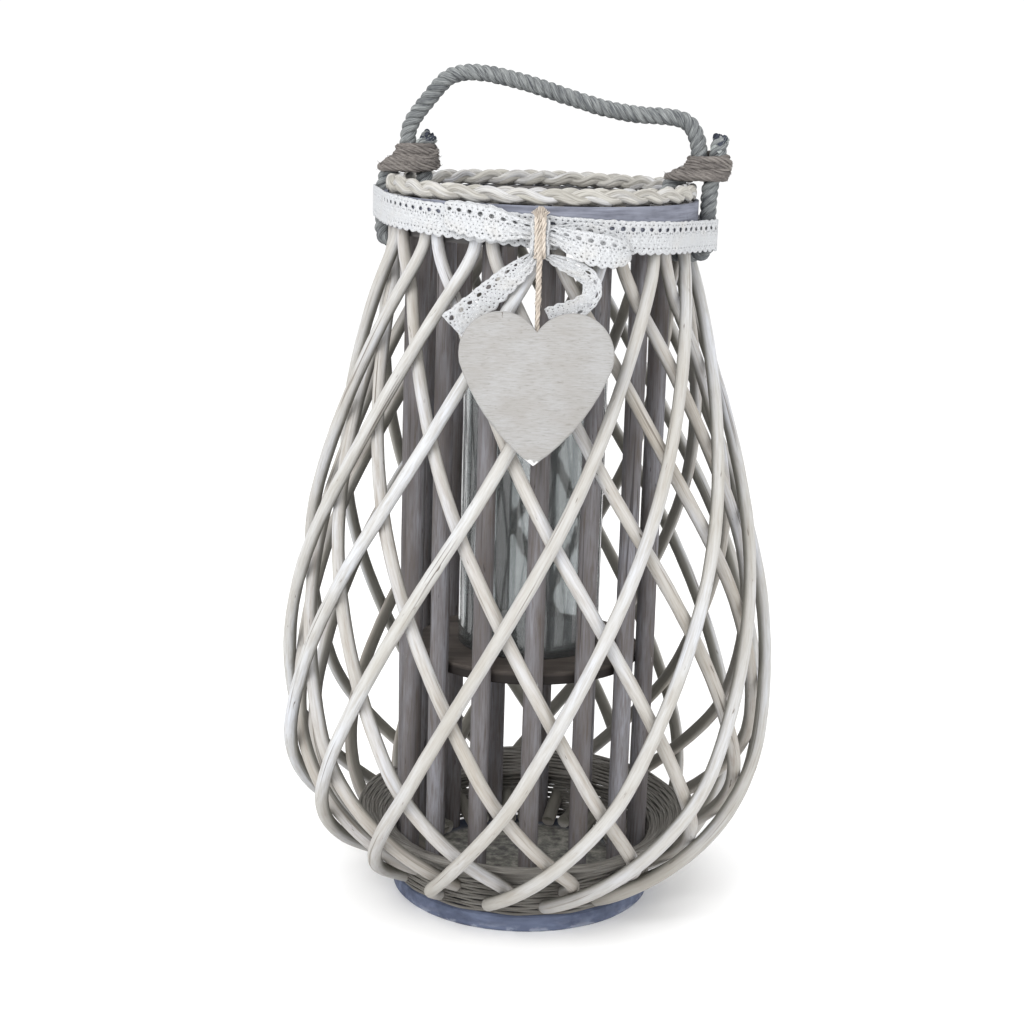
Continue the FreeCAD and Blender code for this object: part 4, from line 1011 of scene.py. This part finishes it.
# Each loop: its line in plan as (across, out from the lace), its slope in degrees, how round its end
# is, and how far its front layer drops below the back one, so that its inside shows.
BOW_LOOPS = {
    "left": ([(-4.2, 6.0), (-22, 6.8), (-40, 5.8), (-56, 4.2), (-60, 3.8), (-58.8, 1.3), (-40, 2.2),
              (-22, 2.8), (-4.2, 2.6)], 6.75, 0.3, 0.8),
    "right": ([(4.2, 6.0), (24, 10.5), (42, 11.5), (53, 9), (57.4, 5.5), (55.8, 1.5), (40, 2.3),
               (22, 2.9), (4.2, 2.6)], 13.1, 0.8, 3.2),
}


def bow_rule(line, tilt, rounded, opened):
    """The placing rule of a bow loop along a line in plan: gathered at the knot, rounded at its end."""
    reach = max(abs(spot.x) for spot in line) / MM

    def place(share, y):
        spot = along(line, share)
        near = 1 - ease((abs(spot.x) / MM - GATHER_END) / GATHER_FADE)
        far = max(0.0, (abs(spot.x) / MM - reach + ROUND_END) / ROUND_END)
        pleat = near * math.sin(y * PLEAT_TURN + 0.12 * spot.x / MM)
        tall = (1 - GATHER_SHARE * near) * (1 - rounded * (1 - math.sqrt(1 - min(far, 1.0) ** 2)))
        drop = opened * (1 - near) * math.cos(math.pi * share)
        height = BOW_HEIGHT - tilt * spot.x / MM + y * tall - drop
        return spot + Vector((0, -pleat, height)) * MM
    return place


for side, (plan, slope, rounded, opened) in BOW_LOOPS.items():
    spots = []
    for across, out in plan:
        reach = LACE_FACE + out
        spots.append(Vector((across, -math.sqrt(reach ** 2 - across ** 2), 0)) * MM)
    line = smooth_line(spots, 0.8)
    rule = bow_rule(line, math.tan(math.radians(slope)), rounded, opened)
    lace_piece(f"bow_loop_{side}", rule, line_length(line) / MM, "gathered", "lace_belt", 0.8,
               f"lace_bow_{side}")

# %% Tails
# Stations along a tail: both edges as (across, down from the knot, out from the lace).
TAILS = {
    "left": [((-7.2, 0.3, 4.9), (-0.8, 0.3, 4.9)), ((-12, 3.0, 5.2), (-1.5, 6.5, 4.6)),
             ((-20, 7, 4.6), (-5, 13, 5.4)), ((-40, 23.3, 5.6), (-25, 34, 4.6)),
             ((-59.4, 39.6, 4.4), (-44.6, 54.4, 5.4))],
    "right": [((7.2, 0.3, 4.9), (0.8, 0.3, 4.9)), ((15, 0.8, 5.2), (7, 6.5, 4.6)),
              ((26, 4, 4.8), (16, 11.5, 4.4)), ((35, 9.5, 4.2), (25, 16, 4.4)),
              ((39.5, 18, 4.4), (27.5, 20, 5.0)), ((38.5, 28, 5.4), (26, 24, 6.0)),
              ((30, 37, 6.4), (20, 27, 6.8)), ((19, 41.5, 7.8), (12, 29.5, 7.8)),
              ((9, 43.5, 9.4), (3.5, 32.5, 9.4))],
}


def tail_rule(edges):
    """The placing rule of a tail between its two edges, pleated at the knot."""
    def place(share, y):
        across = 0.5 + y / LACE_WIDTH
        spot = along(edges[1], share).lerp(along(edges[0], share), across)
        ripple = (1 - ease(share * 2.2)) * 0.5 * math.sin(y * PLEAT_TURN)
        return spot + Vector((0, -ripple, 0)) * MM
    return place


for side, stations in TAILS.items():
    edges = []
    for edge in zip(*stations):
        spots = [Vector((across, -LACE_FACE - out, KNOT_BOTTOM - down)) * MM for across, down, out in edge]
        edges.append(smooth_line(spots, 0.5))
    tail_length = (line_length(edges[0]) + line_length(edges[1])) / 2 / MM
    lace_piece(f"bow_tail_{side}", tail_rule(edges), tail_length, "hung", "bow_knot", 0.72,
               f"lace_tail_{side}")


# %% [markdown]
# ### Knot
# The core of the knot is a soft lump. A gathered piece of the ribbon is wrapped round it.

# %% Knot
KNOT_OUT = -110.2
KNOT_WIDE, KNOT_DEEP, KNOT_TALL, KNOT_ENDS = 7.2, 4.4, 9.7, 0.97
WRAP_DEEP, WRAP_TALL = 4.3, 10.2
KNOT_STEPS, KNOT_SIDES, WRAP_STEPS = 24, 48, 96


def soft_power(value, power):
    return math.copysign(abs(value) ** power, value)


def face_outward(body):
    bmesh.ops.recalc_face_normals(body, faces=body.faces)


def lofted(name, rings, material):
    """A closed mesh from equal rings of points, with flat ends."""
    count = len(rings[0])
    corners = [point for ring in rings for point in ring]
    faces = []
    for ring in range(len(rings) - 1):
        for index in range(count):
            after = (index + 1) % count
            faces.append((ring * count + index, ring * count + after, (ring + 1) * count + after,
                          (ring + 1) * count + index))
    faces.append(tuple(reversed(range(count))))
    faces.append(tuple(range((len(rings) - 1) * count, len(rings) * count)))
    return smooth_mesh(name, corners, faces, corners, material, face_outward)


knot_rings = []
for step in range(KNOT_STEPS + 1):
    tip = -math.pi / 2 * KNOT_ENDS + step * math.pi * KNOT_ENDS / KNOT_STEPS
    ring = []
    for index in range(KNOT_SIDES):
        angle = index * math.tau / KNOT_SIDES
        pleats = 1 + 0.1 * math.sin(11 * angle + 0.9 * math.sin(tip * 2))
        waist = (1 - 0.2 * math.cos(tip) ** 4) * soft_power(math.cos(tip), 0.5) * pleats
        ring.append(Vector((KNOT_WIDE * waist * soft_power(math.cos(angle), 0.85),
                            KNOT_OUT + KNOT_DEEP * waist * soft_power(math.sin(angle), 0.85),
                            KNOT_MIDDLE + KNOT_TALL * soft_power(math.sin(tip), 0.75))) * MM)
    knot_rings.append(ring)
fit(lofted("bow_knot", knot_rings, lace_cotton.material), "frame", "lace", "lace_knot")

wrap_line = []
for step in range(WRAP_STEPS + 1):
    angle = step * math.tau / WRAP_STEPS
    wrap_line.append(Vector((0, KNOT_OUT + WRAP_DEEP * soft_power(math.cos(angle), 0.7),
                             KNOT_MIDDLE + WRAP_TALL * soft_power(math.sin(angle), 0.7))) * MM)
wrap_line = even_line(wrap_line, 0.5)
WRAP_MIDDLE = Vector((0, KNOT_OUT, KNOT_MIDDLE)) * MM


def on_wrap(share, y):
    """Round the knot, squeezed to half of the ribbon's width in small pleats."""
    spot = along(wrap_line, share)
    away = (spot - WRAP_MIDDLE).normalized()
    pleat = 0.35 + 0.5 * math.sin(y * 1.5 + 2.0 * share)
    wide = 0.46 + 0.12 * abs(away.z) ** 2
    return spot + away * pleat * MM + Vector((y * wide * MM, 0, 0))


lace_piece("knot_wrap", on_wrap, line_length(wrap_line) / MM, "gathered", "bow_knot", 0.8)

# %% [markdown]
# ## Jute twine
# Three plies of jute go over the knot and hang down its front, to the heart's back. Two more turns lie
# beside it on the knot. Loose fibres stand out along its upper part, and the short ends make a tuft
# on top.

# %% Twine
TWINE_OUT = -116.95
TWINE_ROUTE = [(0, -105.9, 480.05), (0, TWINE_OUT, 480.05), (0, TWINE_OUT, 458), (0, TWINE_OUT, 455.95),
               (0, TWINE_OUT, 422.73), (0, -121.92, 399.82)]
HINGE_LOW, HINGE_HIGH = Vector((0, TWINE_OUT, 451.5)) * MM, Vector((0, TWINE_OUT, 460.5)) * MM
TWINE_THICKNESS, PLY_RADIUS, TURN_PLY_RADIUS = 3.5, 0.82, 0.7
TWINE_STEP = 0.5
JUTE_SKIN = {"sides": 8, "uneven": 0.7, "lumps": 0.6}
twine_line = smooth_line([Vector(point) * MM for point in TWINE_ROUTE], TWINE_STEP)
twine = strands("jute_twine", laid(twine_line, 3, 0.85, 12, 0.6), PLY_RADIUS, PLY_RADIUS, jute_yarn, seed=21,
                **JUTE_SKIN)
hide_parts("twine_tie", "twine_drop")
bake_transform(twine)
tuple(HINGE_HIGH)
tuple(HINGE_LOW)
tuple(twine_line[0])
line_length(twine_line)
[tuple(point) for point in twine_line]

print("twine length:", round(line_length(twine_line), 4))

# %% Loose fibres, turns and the tuft
FIBRE_COUNT, FIBRE_LOW, FIBRE_ROOT = 420, 428.0, 0.9
TUFT_COUNT, TUFT_OUT, TUFT_ROOT, TUFT_TOP = 64, -112.5, 477.5, 483.0
TURN_ACROSS = 2.35
fibre_lines = []
twine_frames = frames(twine_line)
for index in range(FIBRE_COUNT):
    root, way, side, other = twine_frames[int((index + 0.5) / FIBRE_COUNT * len(twine_frames))]
    if root.z < FIBRE_LOW * MM:
        continue
    turn = index * HAIR_TURN
    reach = (0.9 + 2.2 * abs(noise.noise(Vector((index * 1.7, 0.3, 0))))) * MM
    run = way * (2.2 + 2.0 * noise.noise(Vector((index * 0.9, 4.1, 0)))) * MM
    out = side * math.cos(turn) + other * math.sin(turn)
    bend = root + out * (FIBRE_ROOT * MM + reach * 0.6) + run * 0.5
    fibre_lines.append([root + out * FIBRE_ROOT * MM, bend,
                        root + out * (FIBRE_ROOT * MM + reach * 0.8) + run])
twine_fibres = strands("jute_fibres", fibre_lines, 0.16, 0.07, jute_yarn, sides=4, seed=22)
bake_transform(twine_fibres)
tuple(HINGE_HIGH)
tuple(HINGE_LOW)

turn_lines = []
for across in (-TURN_ACROSS, TURN_ACROSS):
    route = [(across, -106.5, 478.6), (across, -114, 480.6), (across, -117.2, 476),
             (across * 0.85, -117.0, 467), (across, -116.8, 460), (across, -113.5, 455.4),
             (across, -106.5, 457)]
    turn_line = smooth_line([Vector(point) * MM for point in route], TWINE_STEP)
    turn_lines += laid(turn_line, 3, 0.68, 11, 0.6)
turns = strands("jute_turns", turn_lines, TURN_PLY_RADIUS, TURN_PLY_RADIUS, jute_yarn, seed=24, **JUTE_SKIN)
fit(turns, "frame", "jute")

tuft_lines = []
for index in range(TUFT_COUNT):
    turn = index * HAIR_TURN
    lean = 0.2 + 0.8 * (index % 9) / 9
    top = Vector((math.cos(turn) * lean * 6.5, TUFT_OUT + math.sin(turn) * lean * 3.5,
                  TUFT_TOP + 5 * (1 - lean))) * MM
    root = Vector((math.cos(turn) * 1.6, TUFT_OUT + math.sin(turn) * 1.2, TUFT_ROOT)) * MM
    tuft_lines.append(hair(root, top, 0.55, UP * 1.4))
fit(strands("jute_tuft", tuft_lines, 0.6, 0.2, jute_yarn, sides=5, seed=23), "frame", "jute")
print("loose fibres:", len(fibre_lines), "tuft:", len(tuft_lines))

# %% [markdown]
# ## Wooden heart
# The heart is sawn from a thin board: two lobes, two long side arcs and a softened edge with a small
# nick. Its grain runs sideways under a thin wash, which has chipped white at the tip.

# %% Heart finish
heart_wash = Finish("heart_wash", 0.7, Specular_IOR_Level=0.3)
heart_grain = heart_wash.noise((170, 1500, 1500), 5, 0.6)
heart_clouds = heart_wash.noise((34, 60, 60), 3, 0.5)
heart_specks = heart_wash.noise((260, 900, 900), 2, 0.5)
tip_ragged = heart_wash.noise((210, 210, 210), 2, 0.5)
tip_share = heart_wash.node("ShaderNodeMapRange", {"Value": heart_wash.height(), "From Min": 0.3315,
                                                   "From Max": 0.3415, "To Min": 1.0,
                                                   "To Max": 0.0}).outputs["Result"]
heart_wash.colour(heart_wash.ramp(heart_grain, (0.3, (124, 122, 120)), (0.43, (141, 140, 138)),
                                  (0.54, (147, 146, 145)), (0.7, (152, 152, 153))))
heart_wash.lay((136, 133, 129), heart_clouds, 0.34, 0.56, 0.5, 0)
heart_wash.lay((152, 152, 152), heart_clouds, 0.5, 0.74, 0, 0.5)
heart_wash.lay((112, 108, 103), heart_specks, 0.64, 0.74, 0, 0.45)
heart_wash.lay((216, 216, 216), heart_wash.mix(0.5, tip_share, tip_ragged), 0.58, 0.64)
heart_wash.rough(heart_grain, 0.6, 0.85)
heart_wash.bump(heart_grain, 0.00012, 0.4)

# %% Heart
HEART_NOTCH = Vector((0, -121.59, 411.0))
HEART_LEAN = math.radians(12.25)
HEART_UP = Vector((0, math.sin(HEART_LEAN), math.cos(HEART_LEAN)))
HEART_OUT = Vector((0, -math.cos(HEART_LEAN), math.sin(HEART_LEAN)))
HEART_TIP = Vector((0, -81.63))
LOBE_STEPS, SIDE_ARC_STEPS = 48, 36
LOBE_MIDDLE, LOBE_RADIUS = Vector((22.0, -13.38)), 25.75
SIDE_MIDDLE, SIDE_RADIUS = Vector((-75.14, 24.45)), 130.0
LOBE_TURNS = (math.radians(148.7), math.radians(-21.28))
SIDE_TURNS = (math.radians(-21.28), math.radians(-54.69))
# The softened edge from back to front, as (inset, out from the back face).
HEART_EDGE = ((1.5, 0.0), (0.5, 0.3), (0.05, 1.2), (0.0, 3.0), (0.05, 4.8), (0.45, 5.65), (1.4, 6.0))
NICK_AT, NICK_HALF, NICK_DEPTH = -58, 3, 1.3
SPLIT_ROUTE = ((-21.7, 11.6), (-21.3, 10.4), (-21.6, 9.2), (-21.2, 7.8))


def arc(middle, radius, turns, count):
    """Points along an arc, without its last one."""
    return [middle + radius * Vector((math.cos(turn), math.sin(turn)))
            for turn in (turns[0] + (turns[1] - turns[0]) * step / count for step in range(count))]


def on_heart(point, out):
    return (HEART_NOTCH + Vector((point.x, 0, 0)) + HEART_UP * point.y + HEART_OUT * out) * MM


right_half = arc(LOBE_MIDDLE, LOBE_RADIUS, LOBE_TURNS, LOBE_STEPS)
right_half += arc(SIDE_MIDDLE, SIDE_RADIUS, SIDE_TURNS, SIDE_ARC_STEPS)
left_half = [Vector((-point.x, point.y)) for point in reversed(right_half[1:])]
heart_outline = right_half + [HEART_TIP] + left_half
heart_rings = []
for inset, out in HEART_EDGE:
    ring = []
    for index, point in enumerate(heart_outline):
        after = heart_outline[(index + 1) % len(heart_outline)]
        before = heart_outline[index - 1]
        inward = Vector((after.y - before.y, before.x - after.x)).normalized()
        rough = 0.35 * abs(noise.noise(Vector((point.x * 0.16, point.y * 0.16, out * 0.1))))
        nick = NICK_DEPTH * max(0.0, 1 - abs(point.y - NICK_AT) / NICK_HALF) if point.x < 0 else 0.0
        ring.append(on_heart(point + inward * (inset + rough + nick * (out > 4)), out))
    heart_rings.append(ring)
fit(lofted("wooden_heart", heart_rings, heart_wash.material), "heart", "heart_wood", "heart_pendant")

dark_split = Finish("dark_split", 0.9)
split_spots = dark_split.noise((300, 300, 300))
dark_split.colour(dark_split.ramp(split_spots, (0.3, (60, 52, 46)), (0.7, (88, 78, 70))))
split_line = [on_heart(Vector(point), 5.95) for point in SPLIT_ROUTE]
split = strands("heart_split", [split_line], 0.25, 0.08, dark_split.material, sides=6, uneven=0.1, seed=31)
fit(split, "heart", "heart_wood")
print("heart outline:", len(heart_outline), "points")

# %% [markdown]
# ## Plate, hoops, shelf, glass and nails
# These pieces have their true shape in the CAD model already, so they keep it and only get finishes.
# The nails of the hoops were stained over with the hoop, so they don't shine.


# %% Finishes for the CAD pieces
def stained(name, light, middle, dark, stretch):
    """Stained wood with grain along one direction of the object."""
    finish = Finish(name, 0.75, Specular_IOR_Level=0.3)
    grain = finish.noise(stretch, 6, 0.6)
    clouds = finish.noise((38, 38, 38), 4, 0.6)
    finish.colour(finish.ramp(grain, (0.3, dark), (0.5, middle), (0.68, light)))
    finish.lay(light, clouds, 0.42, 0.75, 0, 0.55)
    finish.rough(grain, 0.6, 0.9)
    finish.bump(grain, 0.0003, 0.6)
    return finish


def dress(finish, *nodes):
    """Give CAD pieces a finish."""
    for node in nodes:
        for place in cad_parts[node].material_slots:
            place.material = finish.material


BLACK = (0, 0, 0, 1)
plate_stain = stained("plate_stain", (99, 108, 130), (76, 83, 104), (52, 57, 74), (9, 120, 120))
# Dust and damp have mottled the plate inside the ring of sticks.
plate_reach = plate_stain.node("ShaderNodeVectorMath", {0: plate_stain.place((1, 1, 0))},
                               operation="LENGTH").outputs["Value"]
plate_dust = plate_stain.ramp(plate_stain.noise((150, 150, 150), 5, 0.65), (0.36, (78, 76, 70)),
                              (0.5, (114, 112, 104)), (0.64, (148, 146, 136)))
plate_stain.lay(plate_dust, plate_reach, 0.070, 0.080, 0.9, 0.0)
# Paint has come off along the lower edge.
plate_edge = plate_stain.grey(plate_stain.height(), 0.0008, 0.0045, 1.0, 0.0)
plate_chips = plate_stain.grey(plate_stain.noise((80, 80, 180), 3), 0.5, 0.57, 0.0, 0.9)
plate_stain.lay((150, 155, 167), plate_stain.mix(plate_edge, BLACK, plate_chips), 0.0, 1.0)
dress(plate_stain, "base_plate")

band_stain = stained("band_stain", (132, 135, 147), (106, 109, 121), (74, 76, 86), (30, 30, 420))
dress(band_stain, "hoop_band", "hoop_nails")
inner_stain = stained("inner_band_stain", (112, 109, 108), (88, 86, 86), (62, 60, 61), (30, 30, 420))
dress(inner_stain, "inner_hoop")
shelf_stain = stained("shelf_stain", (106, 98, 92), (82, 75, 70), (54, 48, 45), (12, 150, 500))
# Painted shade: the lower part of the shelf's edge is darkened.
shelf_stain.lay((28, 24, 23), shelf_stain.height(), 0.1768, 0.1776, 0.92, 0.0)
dress(shelf_stain, "candle_shelf")

# %% Steel and glass
steel = Finish("dull_steel", 0.45, Metallic=1.0)
steel_spots = steel.noise((400, 400, 400))
steel.colour(steel.ramp(steel_spots, (0.3, (120, 118, 116)), (0.7, (172, 172, 174))))
steel.rough(steel_spots, 0.35, 0.6)
dress(steel, "base_nails", "shelf_nails", "heart_staple")

# Painted shade and painted highlights: the grey tint darkens what is seen through the glass, and paler
# vertical streaks in it stand for highlights and refractions.
clear = Finish("clear_glass", 0.05, Transmission_Weight=0.9, IOR=1.45)
clear_streaks = clear.noise((70, 70, 5), 3)
clear.colour(clear.ramp(clear_streaks, (0.35, (0.43, 0.45, 0.45, 1)), (0.65, (0.62, 0.64, 0.65, 1))))
clear.bump(clear_streaks, 0.0006, 0.25)
dress(clear, "glass_cylinder")
print("finishes:", len(bpy.data.materials))
